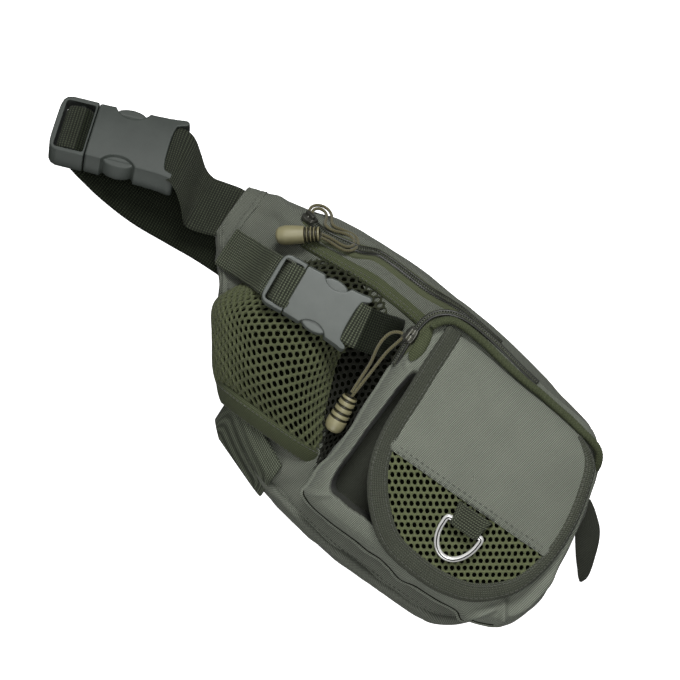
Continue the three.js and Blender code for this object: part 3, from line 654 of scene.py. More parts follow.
def body_point(x, turn):
    """A place on the body by its section and its turn round it, from the lower edge to the upper."""
    x, turn = pair(x, turn)
    low, high, front, lower, upper = body_section(x)
    out, up = corner_power(turn, LOWER.power)
    y1, z1 = low + lower * (1 - out), BASE + (front - BASE) * up
    out, up = corner_power(1 - turn, UPPER.power)
    y3, z3 = high - upper * (1 - out), BASE + (front - BASE) * up
    t = np.clip((turn - CORNER_TURN) / (1 - 2 * CORNER_TURN), 0, 1)
    y2 = (low + lower) * (1 - t) + (high - upper) * t
    z2 = front + CROWN * np.sin(math.pi * t)
    first, last = turn < CORNER_TURN, turn > 1 - CORNER_TURN
    y = np.where(first, y1, np.where(last, y3, y2))
    z = np.where(first, z1, np.where(last, z3, z2))
    return np.stack([x, y, z], axis=-1)


def corner_turn(inset, reach, power):
    near = np.clip(1 - inset / reach, 0, 1) ** (power / 2)
    return CORNER_TURN * np.arccos(near) / (math.pi / 2)


def upper_turn(x, inset):
    return 1 - corner_turn(inset, body_section(x)[4], UPPER.power)


def lower_turn(x, inset):
    return corner_turn(inset, body_section(x)[3], LOWER.power)


def body_height(x, y):
    """The front's height over a place of the pack."""
    x, y = pair(x, y)
    low, high, front, lower, upper = body_section(x)
    out1 = np.clip(1 - (y - low) / lower, 0, 1)
    out3 = np.clip(1 - (high - y) / upper, 0, 1)
    up1 = np.clip(1 - out1 ** LOWER.power, 0, 1) ** (1 / LOWER.power)
    up3 = np.clip(1 - out3 ** UPPER.power, 0, 1) ** (1 / UPPER.power)
    t = np.clip((y - low - lower) / np.maximum(high - low - lower - upper, 1), 0, 1)
    return BASE + (front - BASE) * np.minimum(up1, up3) + CROWN * np.sin(math.pi * t)


# The main zip's distance in from the upper edge, along the pack
MAIN_ZIP = Track((-62, 7), (-40, 14), (-24, 13.5), (-10, 9), (22, 10.5), (53, 6.5), (83, 6))


def zip_turn(x):
    return upper_turn(x, MAIN_ZIP(x)[..., 0])


def main_zip_surface(x, across):
    return body_point(x, zip_turn(np.asarray(x, float)) + across)


# Free pull cords: a doubled strand from each slider to its cord end

CORD_THICK = 2.0
# Rounds of evening out, which let out the bends
CORD_PASSES = 30
# The loops past the pack's edge hang no lower than about this.
CORD_LEVEL = 18
MAIN_MOUTH = np.array([-46.8, 45.4, 54.0])
MAIN_TIP = np.array([-68.3, 29.4, 50.5])
POCKET_MOUTH = np.array([24.4, -24, 73.0])
POCKET_TIP = np.array([26.9, -47.6, 68.0])
# The main strands' places on the pack, and how high they lie over the body's front
MAIN_CORD = [
    (-58.8, 54, 3.4), (-59.8, 56.8, 6.6), (-57.6, 59.6, 4.8), (-53.2, 59.9, 5.6), (-50, 57.2, 7.6),
    (-48.8, 53.6, 4.2), (-46, 51.8, 4.6), (-42, 52.2, 4.6), (-38, 53.8, 3.6), (-33.8, 55.4, 2),
    (-30, 55.8, 1.5), (-27, 54.2, 1.6), (-26.6, 50.8, 3.6), (-29.4, 48.2, 5), (-34.4, 47.6, 6),
    (-40.4, 47.2, 8.2), (-46, 46, 11.6),
]
MAIN_SECOND = [
    (-60.8, 53.2, 3.4), (-62, 57.2, 6.4), (-59, 61.2, 3), (-53, 62.4, 3.6), (-48.2, 60, 9),
    (-45.8, 56.4, 6.2), (-43, 54.6, 4.6), (-39, 55.8, 3.6), (-34, 57.2, 2.4), (-29, 57.8, 2),
    (-24.8, 55, 1.6), (-24.2, 50, 3.4), (-28, 46, 4.4), (-34, 45.2, 5.6), (-40, 45, 8), (-45, 44, 10.6),
]
# The pocket strands' places
POCKET_CORD = [
    (29.5, 22.3, 86), (28.7, 18.8, 84.4), (27.6, 14.2, 82.4), (26.8, 10.3, 80.6), (26.4, 5, 78.8),
    (26.2, 0, 77.4), (26, -5, 76), (25.7, -10, 74.9), (25.4, -16, 73.9), (25, -23.4, 73.2),
]
POCKET_SECOND = [
    (28.4, 24.4, 86), (25, 23.4, 84.6), (21.8, 20, 83), (20.6, 15, 82.3), (20.6, 10, 81.8),
    (21.4, 5, 80.6), (22.4, 0.5, 78.4), (22.9, -5.5, 76), (23.1, -12, 74.8), (23.5, -21.5, 73.6),
]


def lying(rows):
    rows = np.array(rows, float)
    rows[:, 2] += np.maximum(body_height(rows[:, 0], rows[:, 1]), CORD_LEVEL)
    return rows


def let_out(line, passes):
    """The line with its tight bends let out, between the same two ends."""
    line = line.copy()
    for _ in range(passes):
        line[1:-1] += 0.25 * (line[:-2] - 2 * line[1:-1] + line[2:])
    return line


def pull_cord(name, points, nodes):
    path = let_out(Path(points).even(160), CORD_PASSES)
    obj = tube(Build(), path, CORD_THICK / 2, 14).done(name, [CORD], nodes, "cord")
    line = metres(path)
    float(lengths(line)[-1])


# A cord end's radius along it, and the places and radii of its hollow mouth
END_RADIUS = Track((0, 4), (0.06, 4.6), (0.4, 5.2), (0.75, 5.8), (0.9, 5), (0.97, 3.4), (1, 0.6))
END_HOLLOW = np.array([(0, 4), (0.6, 3.2), (2.2, 2.7)])
END_SIDES = 48


def cord_end(name, mouth, tip, node, grooves):
    """A moulded bullet-shaped cord end, grooved round its mouth."""
    way = unit(tip - mouth)
    side = unit(np.cross(way, UP))
    far = np.linalg.norm(tip - mouth)
    angle = spin(END_SIDES)
    around = np.cos(angle)[:, None] * side + np.sin(angle)[:, None] * np.cross(side, way)

    def rings(along, radius):
        return mouth + way * along[:, None, None] + around * radius[:, None, None]

    t = runs((0, 0.85, 110), (0.853, 1, 40))
    dark = sum(bump(t, g, 1.25 / far) for g in grooves)
    outer = rings(t * far, END_RADIUS(t)[:, 0] + 0.25 - 1.15 * np.clip(dark, 0, 1))
    hollow = rings(*END_HOLLOW.T)
    build = Build()
    build.grid(outer, loop_v=True, turn=True)
    # The grooves are cut into the shape, and their faces also take a darker plastic as painted shade.
    build.marks = [int(dark[k // END_SIDES] > 0.35) for k in range(len(build.faces))]
    build.grid(hollow, loop_v=True, mark=1)
    build.fan(hollow[-1], 1)
    build.fan(outer[-1], 0, turn=True)
    return build.done(name, [CORD_END, GROOVE_PAINTED_SHADE], [node], "cord_end", weld=0.01)


main_end = cord_end("main_cord_end_v", MAIN_MOUTH, MAIN_TIP, "main_cord_end", (0.07, 0.15, 0.23, 0.31))
pocket_end = cord_end(
    "pocket_cord_end_v", POCKET_MOUTH, POCKET_TIP, "pocket_cord_end", (0.1, 0.27, 0.44, 0.6)
)
pull_cord("main_pull_cord_v", lying(MAIN_CORD), ["main_pull_cord"])
pull_cord("main_pull_second_v", lying(MAIN_SECOND), ())
pull_cord("pocket_pull_cord_v", POCKET_CORD, ["pocket_pull_cord"])
pull_cord("pocket_pull_second_v", POCKET_SECOND, ())

# Main shell

# The lower seam and the welt beside it, in from the lower edge, and where the seam ends
SHELL_SEAM = 6.5
SHELL_WELT = 8.5
SHELL_SEAM_END = 176
# The welts of the main zip, as turns to each side of it
ZIP_WELT = 0.085
# Creases: where each starts and ends in plan, its width and its depth
SHELL_CREASES = (
    ((-60, -30), (-30, -20), 7, 1.8), ((-92, 0), (-64, 6), 5, 1.6), ((-96, 34), (-60, 40), 4, 1.2),
    ((-70, -32), (-52, -24), 4, 1.4), ((20, -98), (34, -80), 6, 2.5), ((60, -112), (96, -104), 4, 2),
    ((-84, 44), (-66, 34), 4, 1.3),
)
# The rounded right end: how far out each ring is, and its size
SHELL_TAIL = ((1.4, 0.97), (2.8, 0.9), (4, 0.78), (4.8, 0.62), (5.2, 0.4), (5.3, 0.15))


def shell_folds(points):
    x = points[..., 0]
    amount = ripple(points, 3, 46, 0.55, 8) + ripple(points, 4, 17, 0.16, 8)
    amount = amount + ease(-20, -70, x) * ripple(points, 5, 26, 0.9, 6, (1, 0.5, 0.2))
    return amount * ease(-100, -92, x)


def body_line(x, turn, lift):
    """A line on the body's folded cloth, and its normals."""
    at, normal = sides(body_point, x, turn)
    return at + normal * lift + normal * shell_folds(at)[:, None], normal


def main_shell():
    x = runs((-100, 160, 190), (161, 189, 36))
    u, v = crossed(x, runs((0, 0.4, 100), (0.41, 0.6, 26), (0.606, 1, 66)))
    points = body_point(u, v)
    normal = grid_normals(points)
    seam = lower_turn(x, SHELL_SEAM)[:, None]
    zip_line = zip_turn(x)[:, None]
    depth = shell_folds(points) - 3.6 * bump(v, seam, 0.012) + 2.4 * bump(v, seam + 0.032, 0.03)
    depth = depth + 2 * bump(v, seam - 0.035, 0.034) - creases(points, SHELL_CREASES)
    welt = bump(v, zip_line - ZIP_WELT, 0.03) + bump(v, zip_line + ZIP_WELT, 0.03)
    depth = depth * (1 - 0.8 * bump(v, zip_line, 0.1)) + 1.1 * welt * ease(-70, -55, u)
    depth = depth * ease(0, 0.03, np.minimum(v, 1 - v)) * (1 - 0.9 * ease(168, 185, u))
    points = points + normal * depth[..., None]
    last = points[-1]
    middle = last.mean(axis=0)
    tail = []
    for reach, size in SHELL_TAIL:
        ring = middle + (last - middle) * [1, size, size] + [reach, 0, 0]
        ring[:, 2] = np.maximum(ring[:, 2], BASE)
        tail.append(ring)
    points = np.concatenate([points, tail])
    points[..., 0] -= 7 * ease(176, 190, points[..., 0]) * ease(8, -14, points[..., 1])
    build = Build()
    build.grid(points, cloth=True)
    across = np.linspace(0, 1, 12)[None, :, None]
    build.grid(points[:, :1] * (1 - across) + points[:, -1:] * across, turn=True)
    build.fan(np.concatenate([points[0], points[0, ::-1][1:-1] * [1, 1, 0] + [0, 0, BASE]]))
    x = np.linspace(-10, SHELL_SEAM_END, 700)
    # A dark tube sunk in the lower seam's groove: painted shade.
    gap, _ = body_line(x, lower_turn(x, SHELL_SEAM), -2.4)
    tube(seam_shade_lines, gap, 0.9, 8)
    line, _ = body_line(x, lower_turn(x, SHELL_WELT), 0.6)
    swell = 1 + 0.25 * np.sin(x / 7.3) * np.sin(x / 17)
    tube(build, line, 2.7 * swell * ease(-10, 14, x) * ease(SHELL_SEAM_END, 166, x) + 0.2, 14)
    build.done("main_shell_v", [CLOTH_BODY], ["main_shell"], "cloth", weld=0.02)
    x = np.linspace(-84, SHELL_SEAM_END, 400)
    for inset in (4.6, 11.5):
        stitches(*body_line(x, lower_turn(x, inset), 0.1), 3.2)
    x = np.linspace(-60, 84, 260)
    for offset in (-ZIP_WELT, ZIP_WELT):
        stitches(*body_line(x, zip_turn(x) + offset, 0.5))


main_shell()

# Zips

COIL_PITCH = 1.45
# A coil's tooth from its inner to its outer end: shares of the chain across, heights, and steps along
TOOTH = ((-0.18, 1.55, 0.1), (0.1, 2.15, 0.05), (0.55, 2.2, 0), (0.95, 1.85, 0), (1.05, 1.2, 0))


def zip_chain(name, surface, us, half, node, chain, tape_lift=0.9):
    """Two tapes and a coil: surface gives a place along and across the zip."""
    build = Build()
    for hand in (-1, 1):
        shares = runs((1, 1, 1), (0.98, 0.14, 16), (0.12, 0.12, 1))
        u, v = crossed(us, shares * hand)
        at, normal = sides(surface, u, v * half)
        share = np.abs(v)
        lift = tape_lift + 0.5 * (1 - share) - 1.1 * ease(0.9, 1, share) - 1.3 * ease(0.14, 0.12, share)
        build.grid(at + normal * lift[..., None], turn=hand > 0)
    line = surface(us, np.zeros_like(us))
    far = lengths(line)
    at_u = np.interp(lengths(resampled(line, int(far[-1] / COIL_PITCH))), far, us)
    base, normal = sides(surface, at_u, np.zeros_like(at_u))
    ahead = ahead_of(base)
    over = np.cross(normal, ahead)
    for k in range(len(at_u) - 1):
        for hand in (-1, 1):
            step = ahead[k] * (COIL_PITCH * 0.25 * hand)
            tooth = [
                base[k] + step + over[k] * hand * s * chain + normal[k] * h + ahead[k] * d
                for s, h, d in TOOTH
            ]
            build.grid(tube_rings(Path(tooth).even(7), 0.5, 7), loop_v=True, mark=1)
    # Thin near-black tubes along the coil's edges: painted shade.
    for hand in (-0.8, 0.8):
        build.grid(tube_rings(base + over * hand * chain + normal * 1.9, 0.8, 8), loop_v=True, mark=2)
    build.done(name, [TAPE, COIL, COIL_EDGE_PAINTED_SHADE], [node], "tape")


zip_chain("main_zipper_v", main_zip_surface, np.linspace(-60, 82, 150), 0.045, "main_zipper", 3.0)

# Mesh pouch

# The spacer mesh of the pouch: its cells' pitch and its holes' half sizes, along and across
POUCH_CELLS = (4.7, 4.1)
POUCH_HOLES = (1.7, 1.55)


def net(build, place, low, high, keep, pitch=POUCH_CELLS, hole=POUCH_HOLES, mark=0, deep=1.3):
    """Spacer mesh: staggered cells, each with an open oval hole. place(u, v) gives points and normals."""
    pu, pv = pitch
    edge = (0, 0.25, 0.5, 0.75, 1)
    rim = [(a, 0) for a in edge] + [(1, 0.5)] + [(a, 1) for a in edge[::-1]] + [(0, 0.5)]
    rim = (np.array(rim) - 0.5) * pitch
    angle = np.arctan2(rim[:, 1], rim[:, 0])
    oval = np.stack([np.cos(angle) * hole[0], np.sin(angle) * hole[1]], axis=1)
    layers = (
        (rim, 0.4), (rim * 0.55 + oval * 0.45, 0.32), (rim * 0.2 + oval * 0.8, 0.02), (oval, -0.4),
        (oval * 0.97, -deep),
    )
    turn = np.array([[math.cos(LEAN), math.sin(LEAN)], [-math.sin(LEAN), math.cos(LEAN)]])
    corners = np.array([(u, v) for u in (low[0], high[0]) for v in (low[1], high[1])]) @ turn.T
    first, last = corners.min(axis=0), corners.max(axis=0)
    for r in range(int((last[1] - first[1]) / pv) + 1):
        for c in range(int((last[0] - first[0]) / pu) + 1):
            centre = first + np.array([(c + 0.5 * (r % 2)) * pu, r * pv])
            cu, cv = centre @ turn
            if not (low[0] <= cu <= high[0] and low[1] <= cv <= high[1] and keep(cu, cv)):
                continue
            rings, uv = [], []
            for shape, height in layers:
                flat = (centre + shape) @ turn
                at, normal = place(flat[:, 0], flat[:, 1])
                rings.append(at + normal * height)
                uv.append(flat * MM)
            uv = np.array(uv)
            build.grid(rings, loop_v=True, mark=mark, uv=np.concatenate([uv, uv[:, :1]], axis=1))


# The pouch along the pack's height: its left and right folds and its top
POUCH = Track(
    (-74, -38, 40, 59), (-66, -47, 38.5, 68), (-56, -57, 32.5, 77), (-40, -68, 24.6, 85),
    (-24, -75.5, 18.5, 88), (-7, -70, 12.4, 82.5), (10, -62, 15, 77), (19, -57, 25, 69), (25, -54, 33, 63),
    (31, -52, 36, 59), (38, -50, 37, 55.5),
)
POUCH_FOOT = 20
POUCH_POWER = 2.5
# The mesh runs from the pouch's lower hem to its mouth; above this line its colour is darkened as painted
# shade.
POUCH_LOW = -66
POUCH_MOUTH = 37
POUCH_SHADE = 20


def pouch_point(y, share):
    y, share = pair(y, share)
    left, right, top = columns(POUCH(y))
    angle = math.pi * np.clip(share, 0, 1)
    c = np.cos(angle)
    out = np.sign(c) * np.abs(c) ** (2 / POUCH_POWER)
    up = np.clip(np.sin(angle), 0, 1) ** (2 / POUCH_POWER)
    x = (left + right) / 2 - out * (right - left) / 2
    return np.stack([x, y, POUCH_FOOT + (top - POUCH_FOOT) * up], axis=-1)


# Distances round the pouch are taken at its widest section.
POUCH_WIDEST = -24.0
arc_share = np.linspace(0, 1, 2001)
arc_far = lengths(pouch_point(np.full_like(arc_share, POUCH_WIDEST), arc_share))
POUCH_ARC = arc_far[-1]


def pouch_surface(u, v):
    return pouch_point(v, np.interp(u, arc_far, arc_share))


def pouch_place(u, v):
    at, normal = sides(pouch_surface, u, v, 0.05)
    slack = ripple(at, 11, 30, 0.55, 7) + ripple(at, 12, 60, 0.7, 5)
    return at + normal * slack[..., None], normal


def mesh_pouch():
    def keep(u, v, shaded):
        at = pouch_surface(u, v)
        return (v >= POUCH_SHADE) == shaded and at[2] > body_height(at[0], at[1]) - 16

    build = Build()
    low, high = (2, POUCH_LOW), (POUCH_ARC - 2, POUCH_MOUTH)
    net(build, pouch_place, low, high, lambda u, v: keep(u, v, False))
    net(build, pouch_place, low, high, lambda u, v: keep(u, v, True), mark=2)
    # A near-black sheet under the mesh: painted shade seen through its holes.
    us, vs = np.linspace(14, POUCH_ARC - 14, 90), np.linspace(POUCH_LOW, POUCH_MOUTH, 60)
    at, normal = pouch_place(*crossed(us, vs))
    build.grid(at - normal * 1.7, mark=1, turn=True)
    build.done("mesh_pouch_v", [NET, NET_BACK_PAINTED_SHADE, NET_MOUTH_PAINTED_SHADE], ["mesh_pouch"], "net", weld=0.02)


mesh_pouch()

# The side mesh's width, and the line by the pocket where it ends
SIDE_WIDTH = 32
SIDE_END = 35.5


def pouch_side():
    """The mesh that falls from the pouch's right fold to the pocket; its colour and the sheet under it are
    painted shade.
    """

    def surface(u, v):
        u, v = pair(u, v)
        _, right, top = columns(POUCH(v))
        start = right - 8 - 5 * ease(-48, -62, v)
        t = np.clip(u / SIDE_WIDTH, 0, 1)
        x = start + (SIDE_END - start) * t
        high = POUCH_FOOT + 0.66 * (top - POUCH_FOOT)
        z = high + (body_height(x, v) + 3 - high) * ease(0, 0.75, t)
        return np.stack([x, v, z], axis=-1)

    def place(u, v):
        return sides(surface, u, v, 0.05)

    build = Build()
    net(build, place, (0.5, -70), (SIDE_WIDTH - 0.5, 27), lambda u, v: True, deep=0.9)
    at, normal = place(*crossed(np.linspace(0, SIDE_WIDTH, 18), np.linspace(-74, 29, 56)))
    build.grid(at - normal * 1.1, mark=1)
    build.done("pouch_side_v", [NET_SIDE_PAINTED_SHADE, NET_BACK_PAINTED_SHADE], (), "net", weld=0.02)


pouch_side()


def band(name, surface, us, vs, wall, material, node, rows, **thread_sizes):
    """A sewn tape on a surface, us along it and vs across it, with stitches on some of its rows."""
    at, normal = sides(surface, *crossed(us, vs))
    normal = np.where(normal[..., 2:] < -0.2, -normal, normal)
    share = np.linspace(-1, 1, len(vs))[None, :]
    lift = wall * (1 - np.abs(share) ** 6 * 0.7) + 0.4 * np.cos(share * math.pi / 2)
    top = at + normal * lift[..., None]
    foot = at - normal * 0.6
    build = Build()
    build.grid(top)
    for edge in (0, -1):
        build.grid(np.stack([foot[:, edge], top[:, edge]], axis=1), turn=edge == -1)
    for edge in (0, -1):
        build.grid(np.stack([foot[edge], top[edge]], axis=0), turn=edge == -1)
    build.done(name, [material], [node], "tape", weld=0.02)
    for row in rows:
        stitches(top[:, row], normal[:, row], **thread_sizes)


# The lower and upper edge of the band over the pouch's mouth, along the pack
BAND_EDGES = Track(
    (-52, 32.6, 40.4), (-25, 34.4, 42.3), (-2, 36.2, 44.6), (14, 35.6, 43.6), (32, 33.9, 41.8), (38, 33, 41),
)


def top_band_surface(x, t):
    low, high = columns(BAND_EDGES(x))
    y = low + (high - low) * t
    return np.stack([x, y, body_height(x, y)], axis=-1)


band(
    "pouch_top_binding_v", top_band_surface, np.linspace(-52, 36, 120), np.linspace(0, 1, 18), 2.0,
    BAND, "pouch_top_binding", (3, 8), pitch=2.6, length=1.5, radius=0.34,
)
band(
    "pouch_bottom_binding_v", lambda share, y: pouch_point(y, share), np.linspace(0.16, 0.84, 120),
    np.linspace(-72.5, -62, 16), 1.7, BINDING_GREEN, "pouch_bottom_binding", (2, 13),
)

# Webbing

WEBBING_THICK = 1.6
WEBBING_RIBS = 1.7


def webbing(name, rows, width, node, count=16, dark=None, square=1.0, material=WEBBING):
    """Webbing along rows of x, y, z, turn, tip and width; dark tells which places are coloured with painted
    shade.
    """
    rows = np.array([(list(r) + [0] * 5)[:5] + [r[5] if len(r) > 5 else width] for r in rows], float)
    fine = Path(rows)(np.linspace(0, 1, 60 * len(rows)))
    far = lengths(fine[:, :3])
    at = np.linspace(0, far[-1], int(far[-1] / WEBBING_RIBS * 5))
    fine = np.stack([np.interp(at, far, column) for column in fine.T], axis=1)
    turn, tip = np.radians(fine[:, 3]), np.radians(fine[:, 4])
    across = np.stack([-np.sin(turn) * np.cos(tip), np.cos(turn) * np.cos(tip), np.sin(tip)], axis=1)
    ahead = ahead_of(fine[:, :3])
    across = unit(across - square * ahead * np.sum(across * ahead, axis=1, keepdims=True))
    up = unit(np.cross(ahead, across))
    share = np.linspace(-1, 1, count)
    plump = np.sqrt(np.clip(1 - np.abs(share) ** 8, 0, 1)) * 0.75 + 0.25
    wave = ribs(at, WEBBING_RIBS, 0.22)[:, None] * np.sqrt(np.clip(1 - share**6, 0, 1))
    half = up[:, None] * (WEBBING_THICK / 2 * plump[None, :] + wave)[..., None]
    flat = share[None, :] * fine[:, 5:6] / 2
    line = fine[:, None, :3] + across[:, None] * flat[..., None]
    across_uv = np.concatenate([flat, flat[:, ::-1], flat[:, :1]], axis=1)
    uv = np.stack(np.broadcast_arrays(at[:, None], across_uv), axis=2) * MM
    build = Build()
    build.strip(line + half, line - half, turn=True, uv=uv)
    if dark is not None:
        shaded = np.repeat(dark(fine)[:-1], 2 * count).astype(int).tolist()
        build.marks[:len(shaded)] = shaded
    build.done(name, [material, WEBBING_PAINTED_SHADE], [node], "webbing")


# The belt buckle's turn and tip in degrees, and its place
BELT_TURN = 21.4
BELT_TIP = -25
BELT_BUCKLE = np.array([-187, 17.5, 10.6])
BELT_WIDTH = 38
STRAP_WIDTH = 26
STRAP_LEFT = [
    (-91, 7, 23.4, 4), (-84, 7, 28.4, 4), (-76, 7.5, 36.8, 4), (-68, 7.5, 51, 4), (-62, 8, 66, 4),
    (-57.5, 8, 77, 4), (-53.5, 8, 80.5, 4.8), (-50.6, 8.2, 83, 4.8), (-48.9, 8.4, 87, 4.8),
    (-47, 8.5, 90.3, 4.8), (-44, 8.8, 91.6, 4.8), (-40, 9.2, 91.5, 4.8), (-36.9, 9.4, 90, 4.8),
    (-35.8, 9.5, 86.6, 4.8),
]
STRAP_RIGHT = [
    (-5.4, 12, 85.5, 4.8), (-4.2, 12.1, 88.6, 4.8), (-1, 12.4, 90.4, 4.8), (4, 12.8, 89.9, 5),
    (10, 14, 87.5, 7), (17, 16, 82, 9), (22.5, 18, 74, 11), (26, 19, 66.5, 12), (28, 19.6, 60.2, 12),
]
BELT_FRONT = [
    (-94, 27.5, 12.8, 5, -4, 31), (-102.9, 25.5, 12.2, 6.5, -5, 34), (-111, 22.8, 11.6, 7, -6, 35.4),
    (-119.8, 20.4, 11.4, 8, -10, 36), (-124.5, 21.6, 12, 10, -22, 37), (-129, 25, 14.6, 12, -32),
    (-134.5, 29.6, 19, 13, -32), (-140, 33.5, 22, 15, -29), (-145.5, 35.8, 22, 19, -26),
    (-150, 35.6, 20.2, 22, BELT_TIP), (-154, 34.2, 18.4, BELT_TURN, BELT_TIP),
    (-158.6, 32.4, 16.4, BELT_TURN, BELT_TIP), (-161, 31, 14, BELT_TURN, BELT_TIP),
]
BELT_BACK = [
    (172, 8, 1.1), (150, 8, 1.1), (40, 8, 1.1), (-100, 8, 1.1), (-125, 6, 1.1), (-150, 4, 1.8),
    (-172, 5, 4.4, 6, -6), (-190, 7, 8, 14, -16), (-202, 8.3, 9.3, 19, -23),
]
# The belt's fold round the buckle's bar, in the buckle's own millimetres and narrowed by its slot
BELT_FOLD = [
    (-25, -1.8, -1.9), (-29, -1, -0.8), (-30.9, -0.4, 2.4), (-31, 0, 7), (-29.6, 0, 10.4), (-26.5, 0, 12),
    (-22, 0, 12.2), (-18, 0, 11.4), (-15.6, 0, 9.2), (-15, 0, 6),
]
BELT_NARROW = 30.5
for k, row in enumerate(BELT_FOLD):
    spot = BELT_BUCKLE + turned(BELT_TURN, BELT_TIP) @ row
    BELT_BACK.append((*spot, BELT_TURN, BELT_TIP, BELT_NARROW if k else BELT_WIDTH))
webbing("pouch_strap_left_v", STRAP_LEFT, STRAP_WIDTH, "pouch_strap_left")
# The strap's far end falls into shadow, so it takes the webbing's painted shade.
webbing(
    "pouch_strap_right_v", STRAP_RIGHT, STRAP_WIDTH, "pouch_strap_right", dark=lambda rows: rows[:, 0] > 7
)
webbing("belt_front_v", BELT_FRONT, BELT_WIDTH, "belt_front", 20, square=0.15, material=WEBBING_BELT)
# The belt's return strip under the buckle takes the webbing's painted shade, except where it runs through the
# buckle.
webbing(
    "belt_back_v", BELT_BACK, BELT_WIDTH, "belt_back", 14, dark=lambda rows: rows[:, 0] > -207,
    material=WEBBING_BELT,
)


def wing_hem():
    """The folded hem at the pack's left end, over the belt."""
    end = BODY.x[0]
    x = np.concatenate([[-101.6, -101.9, -101.4], np.linspace(-100.4, -90.8, 16), [-90.2, -90]])
    lift = np.concatenate([[-0.6, 0.5, 1.2], np.full(16, 1.35), [1.0, 0.2]])
    at, normal = sides(body_point, *crossed(np.maximum(x, end), np.linspace(0.02, 0.98, 110)))
    normal = np.where(normal[..., 2:] < 0, -normal, normal)
    at[..., 0] += (x - np.maximum(x, end))[:, None]
    top = at + normal * (lift[:, None] + shell_folds(at))[..., None]
    under = top - normal * 1.2
    build = Build()
    build.grid(top)
    build.grid(np.stack([top[0], under[0], under[4]], axis=0), turn=True)
    sewn = 15
    stitches(top[sewn] + normal[sewn] * 0.05, normal[sewn])
    build.done("wing_hem_v", [CLOTH_BODY], (), "cloth")


wing_hem()


def bottom_loop():
    """The webbing loop under the pouch, two layers folded over the pack's lower edge."""
    build = Build()
    xs = np.linspace(-35, 15, 28)
    fold_y = np.interp(xs, [-37, -26, 20], [-81, -90.5, -107.5])
    for layer, count in ((0, 170), (1, 130)):
        lines = []
        for x, fold in zip(xs, fold_y):
            rows = [
                body_point(x, 0.385) + [0, 0, 1.6 + 1.9 * layer],
                body_point(x, 0.3) + [0, -1.5, 3 + 1.9 * layer],
                (x, fold + 3.5 - 0.6 * layer, 36 + 1.5 * layer),
                (x, fold - 1.6 * layer, 27),
                (x, fold + 2 + 0.6 * layer, 20 + 2 * layer),
            ]
            if layer == 0:
                rows.append(body_point(x, 0.04) + [0, 0.5, 1.5])
            lines.append(Path(rows).even(count))
        sheet = np.stack(lines, axis=1)
        normal = grid_normals(sheet)
        if normal[40, 14, 2] < 0:
            normal = -normal
        share = np.linspace(-1, 1, len(xs))[None, :]
        wave = ribs(lengths(sheet[:, 14]), 1.5, 0.2)[:, None] * (1 - share**8)
        top = sheet + normal * (0.8 * (1 - 0.6 * np.abs(share) ** 8) + wave)[..., None]
        build.strip(top, sheet - normal * 0.8)
    # The loop takes the lightened webbing: painted light.
    build.done("bottom_loop_v", [WEBBING_LOOP_PAINTED_LIGHT], ["bottom_loop"], "webbing")


bottom_loop()

# Pocket

# The pocket's outline from its left side, by its zip, to its lower edge; its places are counted in rows.
POCKET_ROWS = [
    (33.5, 0), (31.8, 18), (32, 34), (35, 44), (42, 50.8), (52, 53.4), (64, 53.8), (80, 52.4), (104, 49),
    (130, 46), (154, 42), (168, 29), (178, 0), (184, -34), (186, -60), (180, -79), (165, -91), (140, -93.5),
    (100, -93.5), (60, -93), (44, -92), (35.5, -88), (33.8, -78), (34.5, -40),
]
POCKET_OUTLINE = flat_loop(POCKET_ROWS)
# The wall from its foot to the front: the share of the outline, and the height
POCKET_WALL = Track(
    (0, 0.94, 26), (0.2, 0.97, 52), (0.34, 1, 68), (0.5, 0.99, 78), (0.65, 0.965, 86), (0.8, 0.91, 92.5),
    (0.9, 0.78, 97), (1, 0.45, 101),
)
POCKET_MIDDLE = np.array([110.0, -20, 0])
POCKET_CREASES = (
    ((40, -57), (34, -72), 2.4, 1.6), ((33.5, -87), (47, -77), 2.2, 2.4), ((172, -82), (166, -70), 2, 4),
    ((150, -96), (166, -72), 2.2, 4), ((100, -95), (126, -84), 4, 2.2), ((180, -40), (172, -56), 4, 1.6),
)
# The sunk well beside the flap: its depth, and its rim as a share of the outline
WELL_DEEP = 21
WELL_RIM = np.array([
    (0, 0.868), (1, 0.822), (14, 0.74), (17, 0.77), (19, 0.78), (20.5, 0.8), (21.5, 0.855), (22.3, 0.888),
    (23.1, 0.894), (24, 0.868),
])
# The welt round the wall and the dark seam line of painted shade beside it: their levels, and their places
# along the outline
POCKET_WELT = 0.52
POCKET_SEAM = 0.575
WELT_START = 15.2
WELT_END = 0.5
SEAM_START = 15.6
SEAM_END = 21.3


def pocket_point(k, level):
    k, level = pair(k, level)
    share, z = columns(POCKET_WALL(level))
    at = POCKET_MIDDLE + (POCKET_OUTLINE(k) - POCKET_MIDDLE) * share[..., None]
    at[..., 2] = z
    return at


